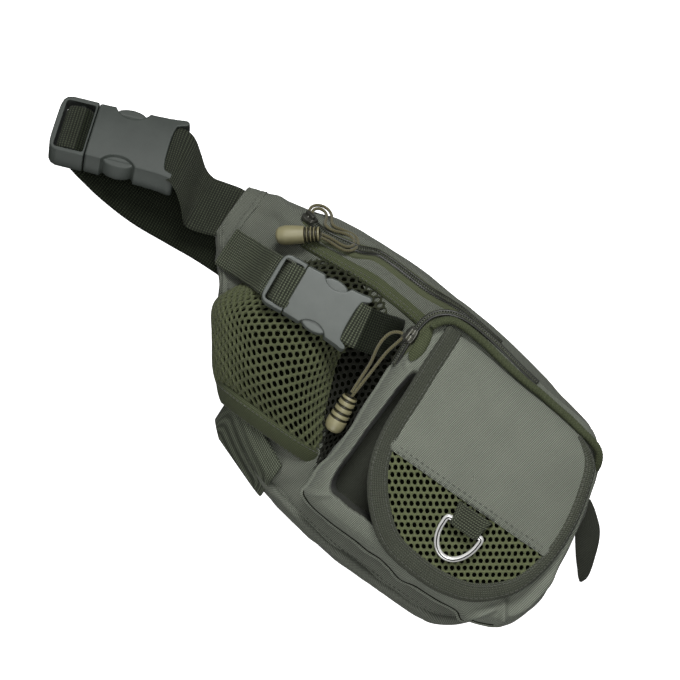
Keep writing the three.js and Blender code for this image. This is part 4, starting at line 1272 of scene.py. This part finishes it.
def pocket_box():
    k = np.linspace(0, 1, 620, endpoint=False)
    level = runs((0, 0.75, 76), (0.752, 0.95, 100), (0.956, 1, 8))
    u, v = crossed(k, level)
    points = pocket_point(u, v)
    normal = grid_normals(np.concatenate([points[-1:], points, points[:1]]))[1:-1]
    spot = u * len(POCKET_ROWS)
    zipped = ease(0.5, 1, spot) * ease(11.3, 10.6, spot)
    folds = ripple(points, 21, 34, 0.8, 8, (1, 1, 0.4)) + ripple(points, 22, 14, 0.22, 8)
    depth = folds * bump(v, 0.4, 0.5) * (1 - 0.8 * zipped * bump(v, 0.6, 0.3))
    below = np.where(spot < 5, ease(1.1, 0.5, spot), ease(14.3, 16.5, spot))
    ridge = -4.6 * bump(v, 0.815, 0.06) + 1.8 * bump(v, 0.885, 0.04)
    depth = depth + (1 - zipped) * (1 - below) * ridge
    depth = depth - creases(points, POCKET_CREASES) * ease(0.2, 0.5, v)
    rim = np.interp(spot, *WELL_RIM.T)
    well = WELL_DEEP * below * ease(rim + 0.01, rim - 0.04, POCKET_WALL(v)[..., 0])
    points = points + normal * depth[..., None]
    points[..., 2] -= well
    build = Build()
    build.grid(points, loop_u=True, cloth=True)
    # The faces deep in the well take the darkened cloth: painted shade.
    build.marks = (well[:, 1:] > 5).astype(int).ravel().tolist()
    build.fan(points[:, -1])
    spot = spot[:, 0]
    run = np.concatenate([np.flatnonzero(spot > WELT_START), np.flatnonzero(spot < WELT_END)])
    welt = points[run, np.argmin(np.abs(level - POCKET_WELT))] + [0, 0, 0.6]
    share = np.linspace(0, 1, len(run))
    tube(build, welt, 1.5 * ease(0, 0.06, share) * ease(1, 0.96, share) + 0.1, 14)
    # A dark tube sunk beside the welt: painted shade.
    foot = (spot > SEAM_START) & (spot < SEAM_END)
    tube(seam_shade_lines, points[foot, np.argmin(np.abs(level - POCKET_SEAM))], 0.6, 8)
    build.done("pocket_box_v", [CLOTH, CLOTH_PAINTED_SHADE], ["pocket_box"], "cloth", weld=0.02)


pocket_box()
POCKET_ZIP = Path([
    (35.2, 8, 84.5), (34.6, 13.9, 87), (34.3, 18.2, 88), (34, 22.8, 88.4), (34.1, 27.2, 88.6),
    (34.3, 31.8, 88.6), (35, 37.3, 88.6), (36.6, 41.6, 88.6), (39.4, 45.4, 88.4), (43.6, 48.6, 88.2),
    (48.8, 50.6, 88), (54.6, 51.6, 87.6), (62.3, 51.6, 87), (70.2, 50.8, 86.6), (78.7, 49.6, 86.6),
    (92, 47, 87), (110, 44.4, 87),
])


def pocket_zip_surface(u, across):
    """The zip along the pocket's rim: u along it, across in millimetres outward."""
    u, across = pair(u, across)
    step = 1e-3
    ahead = unit(POCKET_ZIP(np.clip(u + step, 0, 1)) - POCKET_ZIP(np.clip(u - step, 0, 1)))
    out = np.stack([-ahead[..., 1], ahead[..., 0], np.zeros_like(u)], axis=-1)
    return POCKET_ZIP(u) + unit(unit(out) * 0.8 - 0.6 * UP) * across[..., None]


zip_chain(
    "pocket_zipper_v", pocket_zip_surface, np.linspace(0.002, 0.998, 240), 4.2, "pocket_zipper", 1.9,
    tape_lift=0.4,
)
PIPING = Path([
    (39.3, 37.5, 95), (41.7, 42, 95.6), (44.6, 45.1, 96), (48.2, 47.1, 96), (53.9, 47.8, 96),
    (61.8, 47.6, 96), (72.7, 46.4, 96), (82.9, 44.6, 96), (92.9, 43.2, 96), (102.5, 42.2, 96),
    (114.2, 41.4, 96), (126.4, 39.9, 96), (136.1, 38.9, 96), (146.3, 37.1, 96), (154, 35.8, 95.6),
    (158.9, 34.2, 95), (162.3, 31.5, 94), (164.6, 27.6, 92.4), (165.6, 24, 90),
])
# The leaf of tape at the piping's left end
PIPING_LEAF = flat_loop([
    (39.6, 37.4), (42, 34.2), (43.3, 30.7), (44.4, 24), (43.8, 18.4), (40.8, 13.6), (37.6, 16), (36.6, 22.2),
    (36.6, 30.8), (38, 35.6),
])


def piping():
    build = Build()
    fine = PIPING.even(760) + 1.6 * UP
    tube(build, fine, 2.45 + ribs(lengths(fine), 1.6, 0.1), 16)
    leaf = PIPING_LEAF(np.linspace(0, 1, 90, endpoint=False))
    middle = leaf.mean(axis=0)
    share = np.linspace(0.04, 1, 12)[None, :, None]
    rows = middle + (leaf - middle)[:, None] * share
    rows[..., 2] = 95.4 - 0.18 * (42 - rows[..., 0]) + 1.6 * (1 - share[..., 0] ** 3)
    build.grid(rows, loop_u=True, uv=plan_uv(np.concatenate([rows, rows[:1]])))
    build.fan(rows[:, 0], turn=True)
    build.grid(np.stack([rows[:, -1], rows[:, -1] - 5 * UP], axis=1), loop_u=True)
    build.done("pocket_piping_v", [BINDING_GREEN], ["pocket_piping"], "tape")


piping()

# Flap

# The flap's outline from its upper left corner, to the right. Places along it are counted in these rows.
FLAP_ROWS = [
    (48.4, 39.8), (60, 42.5), (100, 39.4), (148, 34.6), (162, 27), (168.5, 13), (174.5, -14), (174.5, -40),
    (168, -62), (151, -80), (132, -87), (110, -88), (88, -84), (68.5, -69.3), (55.8, -51), (49.8, -30),
    (48, 0), (47, 27),
]
FLAP_COUNT = len(FLAP_ROWS)
FLAP_OUTLINE = flat_loop(FLAP_ROWS)
FLAP_MIDDLE = np.append(np.mean(FLAP_ROWS, axis=0), 0)
FLAP_EDGE = 101
FLAP_CROWN = 111.5
FLAP_POWER = 2.2
# The seam between the flap's cloth and its mesh
FLAP_SEAM = -35
# The binding's width along the outline
BINDING_WIDTH = Track(
    (2.9, 2), (3.4, 4.6), (4.2, 6.6), (6, 7), (7.5, 8.5), (9, 11.5), (10.5, 12.6), (13, 12.4), (15, 10.6),
    (18, 10),
)
BINDING_START = 2.95
BINDING_END = 16.9
# The binding's straight left side ends here, and the cloth's left edge lies under it.
BINDING_TOP = 43.4
FLAP_LEFT = 54.5
# The binding's section: shares of its width inward, and heights over the flap
BINDING_SECTION = (
    (1.0, -0.6), (1.01, 0.6), (0.97, 1.5), (0.85, 2.0), (0.7, 2.25), (0.54, 2.4), (0.38, 2.35), (0.23, 2.1),
    (0.1, 1.5), (0.03, 0.5), (0, -0.6), (0.04, -1.8), (0.15, -2.2), (0.46, -2.3), (0.85, -2.0),
)


def share_within(edge):
    """Gives a place's distance from the flap's middle as a share of the way to an edge round it."""
    away = edge - FLAP_MIDDLE
    angle = np.arctan2(away[:, 1], away[:, 0])
    order = np.argsort(angle)
    reach = np.hypot(away[:, 0], away[:, 1])

    def share(x, y):
        dx, dy = np.asarray(x, float) - FLAP_MIDDLE[0], np.asarray(y, float) - FLAP_MIDDLE[1]
        return np.hypot(dx, dy) / np.interp(np.arctan2(dy, dx), angle[order], reach[order], period=FULL)

    return share


flap_share = share_within(FLAP_OUTLINE(np.linspace(0, 1, 1440, endpoint=False)))


def flap_z(x, y):
    """The flap's height, domed and drawn down towards the piping."""
    near = np.interp(x, [40, 60, 148, 160], [42.5, 42.6, 34.8, 30]) - y
    dip = 4.5 * np.clip(1 - near / 8, 0, 1) ** 2
    return FLAP_EDGE + (FLAP_CROWN - FLAP_EDGE) * (1 - np.clip(flap_share(x, y), 0, 1) ** FLAP_POWER) - dip


def flap_surface(x, y):
    x, y = pair(x, y)
    return np.stack([x, y, flap_z(x, y)], axis=-1)


def on_flap(points, lift=0.0):
    points[..., 2] = flap_z(points[..., 0], points[..., 1]) + lift
    return points


def inward_of(ahead):
    return np.stack([ahead[..., 1], -ahead[..., 0], 0 * ahead[..., 0]], axis=-1)


def flap_inset(k, inset):
    step = 1e-4
    ahead = unit(FLAP_OUTLINE(k + step) - FLAP_OUTLINE(k - step))
    return on_flap(FLAP_OUTLINE(k) + inward_of(ahead) * np.asarray(inset, float)[..., None])


def binding_width(k):
    return BINDING_WIDTH(k * FLAP_COUNT)[:, 0]


def flap_cloth():
    """The flap's cloth as rows from its middle, cut at the seam."""
    k = np.linspace(0, 1, 240, endpoint=False)
    spot = k * FLAP_COUNT
    bound = ease(2.5, 3.0, spot) * ease(17.05, 16.95, spot)
    edge = flap_inset(k, 0.4 + bound * np.maximum(0, binding_width(k) - 2.9))
    left = (spot > BINDING_END) | (spot < 1)
    edge[left, 0] = np.maximum(edge[left, 0], FLAP_LEFT)
    rows = FLAP_MIDDLE + (edge - FLAP_MIDDLE)[:, None] * np.linspace(0.02, 1, 40)[None, :, None]
    rows[..., 1] = np.maximum(rows[..., 1], FLAP_SEAM)
    on_flap(rows)
    folds = ripple(rows, 31, 55, 0.45, 6) + ripple(rows, 32, 20, 0.1, 6)
    top = rows + UP * (1.0 + folds + 0.7 * bump(rows[..., 1], FLAP_SEAM + 3, 5))[..., None]
    rim = top[:, -1]
    low = rim - 2.4 * UP
    build = Build()
    build.grid(top, loop_u=True, cloth=True)
    build.fan(top[:, 0], turn=True)
    build.grid(np.stack([rim, low], axis=1), loop_u=True)
    build.fan(low)
    build.done("flap_cloth_v", [CLOTH], ["flap_cloth"], "cloth", weld=0.02)


flap_cloth()


def flap_net():
    """The mesh window at the flap's lower end, over a near-black sheet of painted shade."""
    k = np.linspace(0, 1, 300, endpoint=False)
    share = share_within(flap_inset(k, binding_width(k) - 3.4))

    def place(x, y):
        at, normal = sides(flap_surface, x, y, 0.05)
        return at + normal * (0.5 * ripple(at, 33, 50, 0.6, 5) + 0.4)[..., None], normal

    def keep(x, y):
        return y < FLAP_SEAM + 2 and share(x, y) < 1

    build = Build()
    net(build, place, (48, -86), (172, -31), keep, (3.65, 4.15), (1.32, 1.56))
    edge = flap_inset(np.linspace(0, 1, 160), np.full(160, 6.0))
    rows = FLAP_MIDDLE + (edge - FLAP_MIDDLE)[:, None] * np.linspace(0, 1, 24)[None, :, None]
    rows[..., 1] = np.minimum(rows[..., 1], FLAP_SEAM + 4)
    build.grid(on_flap(rows, -1.6), mark=1)
    build.done("flap_mesh_v", [NET_FLAP, NET_BACK_PAINTED_SHADE], ["flap_mesh"], "net", weld=0.02)


flap_net()


def flap_binding():
    """Ribbed tape folded over the flap's edge, straight up its left side to the top."""
    k = np.linspace(BINDING_START / FLAP_COUNT, BINDING_END / FLAP_COUNT, 1200)
    line = FLAP_OUTLINE(k)
    way = unit(line[-1] - line[-20])
    climb = line[-1] + way * np.linspace(0.2, (BINDING_TOP - line[-1, 1]) / way[1], 60)[:, None]
    wide = np.concatenate([binding_width(k), np.linspace(10.2, 10, 60)])
    fine = resampled(np.column_stack([np.concatenate([line, climb]), wide]), 1500)
    line, wide = fine[:, :3], fine[:, 3:]
    inward = inward_of(ahead_of(line))
    wave = ribs(lengths(line), 1.5, 0.18)
    rings = [
        on_flap(line + inward * (share * wide), height + (wave if height > 0.4 else 0))
        for share, height in BINDING_SECTION
    ]
    tape = Build().closed(np.stack(rings, axis=1), turn=True)
    tape.done("flap_binding_v", [BINDING], ["flap_binding"], "tape")
    for share in (0.86, 0.2):
        at = on_flap((line + inward * (share * wide))[::4], 2.1)
        stitches(at, np.tile(UP, (len(at), 1)), radius=0.24)
    x = np.linspace(63, 166, 160)
    for y in (-30.8, -33.9):
        at = flap_surface(x, np.full_like(x, y)) + 1.9 * UP
        stitches(at, np.tile(UP, (len(at), 1)), 3.6, radius=0.24, lift=0)


flap_binding()

# D-ring and its tab

# The middle of the ring's straight bar, which is its hinge
RING_PLACE = np.array([120.5, -47, 114.1407])
RING_HALF = 12
RING_HEIGHT = 21.5
RING_SIDE = 4
RING_WIRE = 1.6
# The tab's half thickness, and its bend round the bar
TAB_HALF = 0.6
TAB_BEND = 2.4


def d_ring():
    bow = [
        (RING_HALF * math.cos(a), -RING_SIDE - (RING_HEIGHT - RING_SIDE) * math.sin(a), 0)
        for a in np.linspace(0, math.pi, 24)
    ]
    corner = [(RING_HALF, -1.7), (RING_HALF - 0.5, -0.5), (RING_HALF - 1.7, 0)]
    bar = [(-x, y, 0) for x, y in corner] + [(0, 0, 0)] + [(x, y, 0) for x, y in corner[::-1]]
    path = Path(bow + bar, loop=True)(np.linspace(0, 1, 240, endpoint=False))
    path = path @ turned(0, math.degrees(RING_FALL)).T + RING_PLACE
    build = Build()
    rings = tube_rings(np.concatenate([path[-3:], path, path[:3]]), RING_WIRE, 20)[3:-3]
    build.grid(rings, loop_u=True, loop_v=True)
    build.done("d_ring_v", [CHROME], ["d_ring"], "metal", body="ring")


d_ring()


def ring_tab():
    """Webbing folded round the ring's bar."""
    x, bar_y, bar_z = RING_PLACE
    seam = float(flap_z(x, -36.5)) + 1
    turns = np.radians(np.linspace(-125, 125, 9))
    fold = [(bar_y - TAB_BEND * math.cos(a), bar_z + TAB_BEND * math.sin(a)) for a in turns]
    line = [(-36.2, seam + 0.5), (-40, seam + 0.7)] + fold + [(-41.5, seam + 3.4), (-36.2, seam + 1.9)]
    line = Path([(x, y, z) for y, z in line]).even(220)
    wide = np.interp(line[:, 1], [-50, -44, -36], [18.6, 19.4, 23])
    across = np.array([1.0, 0, 0])
    up = np.cross(ahead_of(line), across)
    share = np.linspace(-1, 1, 16)
    wave = ribs(lengths(line), 1.5, 0.14)[:, None] * (1 - share**8)
    half = TAB_HALF * (0.3 + 0.7 * np.sqrt(1 - np.abs(share) ** 8))[None, :] + wave
    flat = line[:, None] + across * (share[None, :] * wide[:, None] / 2)[..., None]
    thick = up[:, None] * half[..., None]
    build = Build()
    build.strip(flat + thick, flat - thick)
    build.done("ring_tab_v", [WEBBING], ["ring_tab"], "webbing")


ring_tab()

# Mouldings: temporary solids that are cut and joined, then softened


def prism(outline, low, high):
    """A solid from low to high on an outline in plan."""
    n = len(outline)
    points = [(a, b, c) for c in (low, high) for a, b in outline]
    faces = [list(range(n))[::-1], list(range(n, 2 * n))]
    faces += [[k, (k + 1) % n, n + (k + 1) % n, n + k] for k in range(n)]
    return new_object("solid", new_mesh("solid", points, faces))


def round_rod(start, end, radius, n=24):
    points = tube_rings([start, end], radius, n).reshape(-1, 3).tolist()
    faces = [[k, n + k, n + (k + 1) % n, (k + 1) % n] for k in range(n)]
    faces += [list(range(n)), list(range(n, 2 * n))[::-1]]
    return new_object("solid", new_mesh("solid", points, faces))


def face_outward(obj):
    made = bmesh.new()
    made.from_mesh(obj.data)
    bmesh.ops.recalc_face_normals(made, faces=made.faces)
    made.to_mesh(obj.data)
    made.free()


def combine(obj, other, operation):
    face_outward(other)
    tool = obj.modifiers.new("join", "BOOLEAN")
    tool.operation = operation
    tool.solver = "EXACT"
    tool.object = other
    settle(obj)
    data = other.data
    bpy.data.objects.remove(other)
    bpy.data.meshes.remove(data)


def soften(obj, voxel):
    tool = obj.modifiers.new("remesh", "REMESH")
    tool.mode = "VOXEL"
    tool.voxel_size = voxel
    tool = obj.modifiers.new("smooth", "SMOOTH")
    tool.factor = 0.5
    tool.iterations = 6
    settle(obj)


def corners_of(obj):
    return np.array([v.co[:] for v in obj.data.vertices])


def move_corners(obj, places):
    obj.data.vertices.foreach_set("co", places.astype(np.float32).ravel())


def mirrored(half):
    return half + [(a, -b) for a, b in half[::-1]]


def set_down(obj, name, basis, place, material, node):
    """Moves a finished moulding from its own millimetres to its place."""
    move_corners(obj, metres(corners_of(obj) @ basis.T + place))
    obj.data.materials.clear()
    obj.data.materials.append(material)
    smooth(obj.data)
    obj.name = name
    obj.data.name = name
    fitted(obj, [node])


# Buckles, at the belt buckle's size: seam is where the two halves meet, plate the socket's end, horn its tips


def socket_solid(seam, plate, horn):
    """The buckle's hollow half: a smooth face, side windows and two horns round the webbing."""
    half = [
        (seam, 21.4), (seam + 1, 22.4), (0, 22.8), (9, 23), (18, 23.2), (plate - 5, 23.7), (plate + 1, 24.4),
        (horn - 3.2, 25.2), (horn - 0.8, 24.6), (horn, 22.8), (horn - 1.4, 21), (plate + 4, 19.9),
        (plate + 1.4, 18.6), (plate + 0.5, 15), (plate, 10), (plate - 0.2, 5), (plate - 0.2, 0),
    ]
    body = prism(half + mirrored(half[:-1])[len(half) - 1:], 0, 12)
    for s in (-1, 1):
        combine(body, round_rod((8.5, s * 28, -1), (8.5, s * 28, 14), 12, 48), "DIFFERENCE")
    combine(body, round_rod((plate + 3.4, -21.5, 5), (plate + 3.4, 21.5, 5), 2.2), "UNION")
    return body


def plug_solid(seam):
    """The buckle's frame half, its slot, and the two side buttons."""
    half = [
        (-36.3, 9), (-36.1, 15), (-35.3, 19), (-33.4, 21.6), (-30.4, 22.7), (-24, 22.9), (seam - 0.6, 22.7),
    ]
    body = prism(mirrored(half), 0, 11)
    slot = mirrored([(-33, 17.8), (-31.8, 19.6), (seam - 3, 19.6), (seam - 2, 18.8)])
    combine(body, prism(slot, -1, 12), "DIFFERENCE")
    combine(body, round_rod((-23, -20.5, 4.4), (-23, 20.5, 4.4), 2.2), "UNION")
    for s in (-1, 1):
        arm = [(seam - 1.5, s * 8), (seam - 1.5, s * 12.5), (2, s * 17), (6, s * 16), (6, s * 12)]
        combine(body, prism(arm[::-s], 3.6, 8), "UNION")
        button = [(8.5 + 9.6 * math.cos(a), s * 19 + 4.6 * math.sin(a)) for a in spin(36)]
        combine(body, prism(button, 1.6, 9.8), "UNION")
        near, far = s * 18.2 - 0.4, s * 18.2 + 0.4
        combine(body, prism([(-2, near), (19, near), (19, far), (-2, far)], 9.1, 11), "DIFFERENCE")
    return body


def crowned(obj, taper, deep):
    """Draws a moulding's long sides in towards its face, and rounds the face."""
    co = corners_of(obj)
    rise = np.clip((co[:, 2] - 1.5) / 10, 0, 1)
    co[:, 2] -= deep * (np.abs(co[:, 1]) / 23) ** 2.4 * ease(3, 10, co[:, 2])
    co[:, 1] *= 1 - np.where(co[:, 1] < 0, taper, min(taper, 0.05)) * rise**1.3
    move_corners(obj, co)


def buckle(name, place, basis, size, voxel, material, shape, taper):
    for part, solid, deep in (("socket", socket_solid(*shape), 1.2), ("plug", plug_solid(shape[0]), 0.4)):
        soften(solid, voxel)
        crowned(solid, taper, deep)
        node = f"{name}_{part}"
        set_down(solid, node + "_v", basis @ np.diag(size), place, material, node)


buckle(
    "belt_buckle", BELT_BUCKLE, turned(BELT_TURN, BELT_TIP), (1, 1, 1.08), 0.42, PLASTIC_DARK,
    (-12.5, 36.5, 45), 0.24,
)
buckle(
    "pouch_buckle", (-25.5, 10.4, 82.9), turned(4.8, 0), (0.8, 0.74, 0.75), 0.45, PLASTIC,
    (-16.5, 29.5, 37), 0.1,
)

# Sliders


def slider(name, surface, u, lift, node):
    step = 1e-3
    at, normal = sides(surface, np.array(u), np.array(0.0))
    ahead = unit(surface(u + step, 0.0) - surface(u - step, 0.0))
    basis = np.stack([ahead, np.cross(normal, ahead), normal], axis=1)
    body = prism(mirrored([(-5, 2.4), (-4, 3.4), (-2, 4), (1, 3.9), (5, 2.8)]), -1.1, 1.1)
    combine(body, prism([(-3.6, -1.1), (3.6, -1.1), (3.6, 1.1), (-3.6, 1.1)], 0.9, 3.9), "UNION")
    combine(body, round_rod((0.2, -3, 2), (0.2, 3, 2), 0.9), "DIFFERENCE")
    soften(body, 0.22)
    set_down(body, name, basis, at + normal * lift, STEEL, node)


slider("main_slider_v", main_zip_surface, -57.0, 2.8, "main_slider")
slider("pocket_slider_v", pocket_zip_surface, 0.235, 2.6, "pocket_slider")

# Back panel

# The panel's upper face, its edge padding's width, its ends, its quilting grooves, and the belt's channel
PANEL_TOP = 6.3
PANEL_PAD = 9
PANEL_ENDS = (-97.5, 186.5)
PANEL_GROOVES = (-42, 22, 86, 150)
CHANNEL_Y = 8


def rim_of(rows):
    """The border of a patch, once round."""
    return np.concatenate([rows[0], rows[1:, -1], rows[-1, ::-1][1:], rows[::-1, 0][1:-1]])


def back_panel():
    x = np.linspace(*PANEL_ENDS, 150)[:, None]
    low, high, _ = columns(BODY(x))
    t = np.linspace(0, 1, 90)
    y = (low + 3) * (1 - t) + (high - 3) * t
    x = np.broadcast_to(x, y.shape)
    edge = np.minimum.reduce([y - (low + 2.6), (high - 2.6) - y, x + 98, 187 - x])
    pad = np.sqrt(np.clip(1 - (1 - np.clip(edge / PANEL_PAD, 0, 1)) ** 2, 0, 1))
    groove = sum(bump(x, g, 5) for g in PANEL_GROOVES)
    channel = ease(24.5, 20.5, np.abs(y - CHANNEL_Y))
    under = 4.2 - 4.2 * pad + 1.6 * groove * pad + 0.1 * np.cos(x * 0.35) * np.cos(y * 0.3) * pad
    under = np.maximum(under, 0.05)
    under = under * (1 - channel) + np.maximum(under, 3.0) * channel
    bottom = np.stack([x, y, under], axis=2)
    top = np.stack([x, y, PANEL_TOP - 2.0 * (1 - pad)], axis=2)
    build = Build()
    build.grid(bottom, turn=True, uv=plan_uv(bottom))
    build.grid(top, uv=plan_uv(top))
    build.grid(np.stack([rim_of(bottom), rim_of(top)], axis=1), loop_u=True, turn=True)
    obj = build.done("back_panel_v", [BACK_NET], ["back_panel"], "net", weld=0.02)


back_panel()

# The tongue's middle line and its half width
WING_SPINE = Path([
    (183, 7, 18, 2), (187, 2, 18.2, 4.4), (190, -2.5, 18.4, 6.2), (193, -7, 18.2, 7.6), (197, -12.8, 17, 7.7),
    (203.2, -23, 13.6, 6.1), (207.7, -30, 9.8, 4.4), (210, -34.6, 7, 2.9), (211, -37.6, 5, 0.9),
])


def right_wing():
    """The tongue at the pack's right end, coloured with the darkened cloth as painted shade."""
    spine = WING_SPINE(np.linspace(0, 1, 70))
    line, half = spine[:, :3], spine[:, 3:]
    ahead = ahead_of(line)
    side = np.array([0.86, 0.51, 0])
    side = unit(side - ahead * (ahead @ side)[:, None])
    up = np.cross(side, ahead)
    angle = spin(48)
    wide, thick = (np.sign(c) * np.abs(c) ** 0.8 for c in (np.cos(angle), np.sin(angle)))
    at = line[:, None] + side[:, None] * (wide[None, :] * half)[..., None]
    at = at + up[:, None] * (thick[None, :] * np.minimum(2.3, half * 0.6))[..., None]
    build = Build()
    build.grid(at, loop_v=True)
    build.fan(at[0])
    build.fan(at[-1])
    build.done("right_wing_v", [CLOTH_PAINTED_SHADE], ["right_wing"], "cloth")


right_wing()
thread.done("stitches_v", [THREAD], (), "cord")
seam_shade_lines.done("seam_shade_lines_v", [SEAM_PAINTED_SHADE], (), "cord")

# Camera, straight above the front

CAMERA_HEIGHT = 1.25
CAMERA_LENS = 104.8
CAMERA_SENSOR = 36
CAMERA_TURN = 35
lens = bpy.data.cameras.new("camera")
lens.lens = CAMERA_LENS
lens.sensor_width = CAMERA_SENSOR
camera = new_object("camera", lens)
camera.location = (SHIFT[0] * MM, SHIFT[1] * MM, CAMERA_HEIGHT)
camera.rotation_euler = (0, 0, math.radians(CAMERA_TURN))
bpy.context.scene.camera = camera

# Floor and soft light

FLOOR_HALF = 4
FLOOR_LEVEL = -0.0006
LIGHT_AIM = Vector((0.05, 0.0, 0.05))
SKY_STRENGTH = 0.1


def pale_floor():
    corners = [(FLOOR_HALF * a, FLOOR_HALF * b, FLOOR_LEVEL) for a, b in ((-1, -1), (1, -1), (1, 1), (-1, 1))]
    data = new_mesh("floor", corners, [[0, 1, 2, 3]])
    floor = new_object("floor", data)
    pale = Finish("floor_pale", rough=0.9, specular=0.0)
    white = (1, 1, 1, 1)
    pale.set(pale.shader, Base_Color=(0.9, 0.9, 0.9, 1), Emission_Color=white, Emission_Strength=1.05)
    data.materials.append(pale.material)
    floor.visible_diffuse = False
    floor.visible_glossy = False


def soft_light(name, place, size, power):
    data = bpy.data.lights.new(name, "AREA")
    data.shape = "DISK"
    data.size = size
    data.energy = power
    obj = new_object(name, data)
    obj.location = place
    obj.rotation_euler = (LIGHT_AIM - Vector(place)).to_track_quat("-Z", "Y").to_euler()
    return obj


pale_floor()
world = bpy.data.worlds.new("world")
bpy.context.scene.world = world
world.use_nodes = True
sky = world.node_tree.nodes["Background"].inputs
sky["Color"].default_value = (1, 1, 1, 1)
sky["Strength"].default_value = SKY_STRENGTH
soft_light("key", (-0.45, 1.15, 1.35), 0.7, 26)
soft_light("top", (0.0, 0.1, 2.2), 1.6, 15)
soft_light("fill", (0.2, -1.3, 0.9), 0.8, 9)
tent = soft_light("tent", (0.0, 0.0, 2.6), 4.0, 42)
tent.visible_diffuse = False
bpy.context.scene.view_settings.view_transform = "Standard"
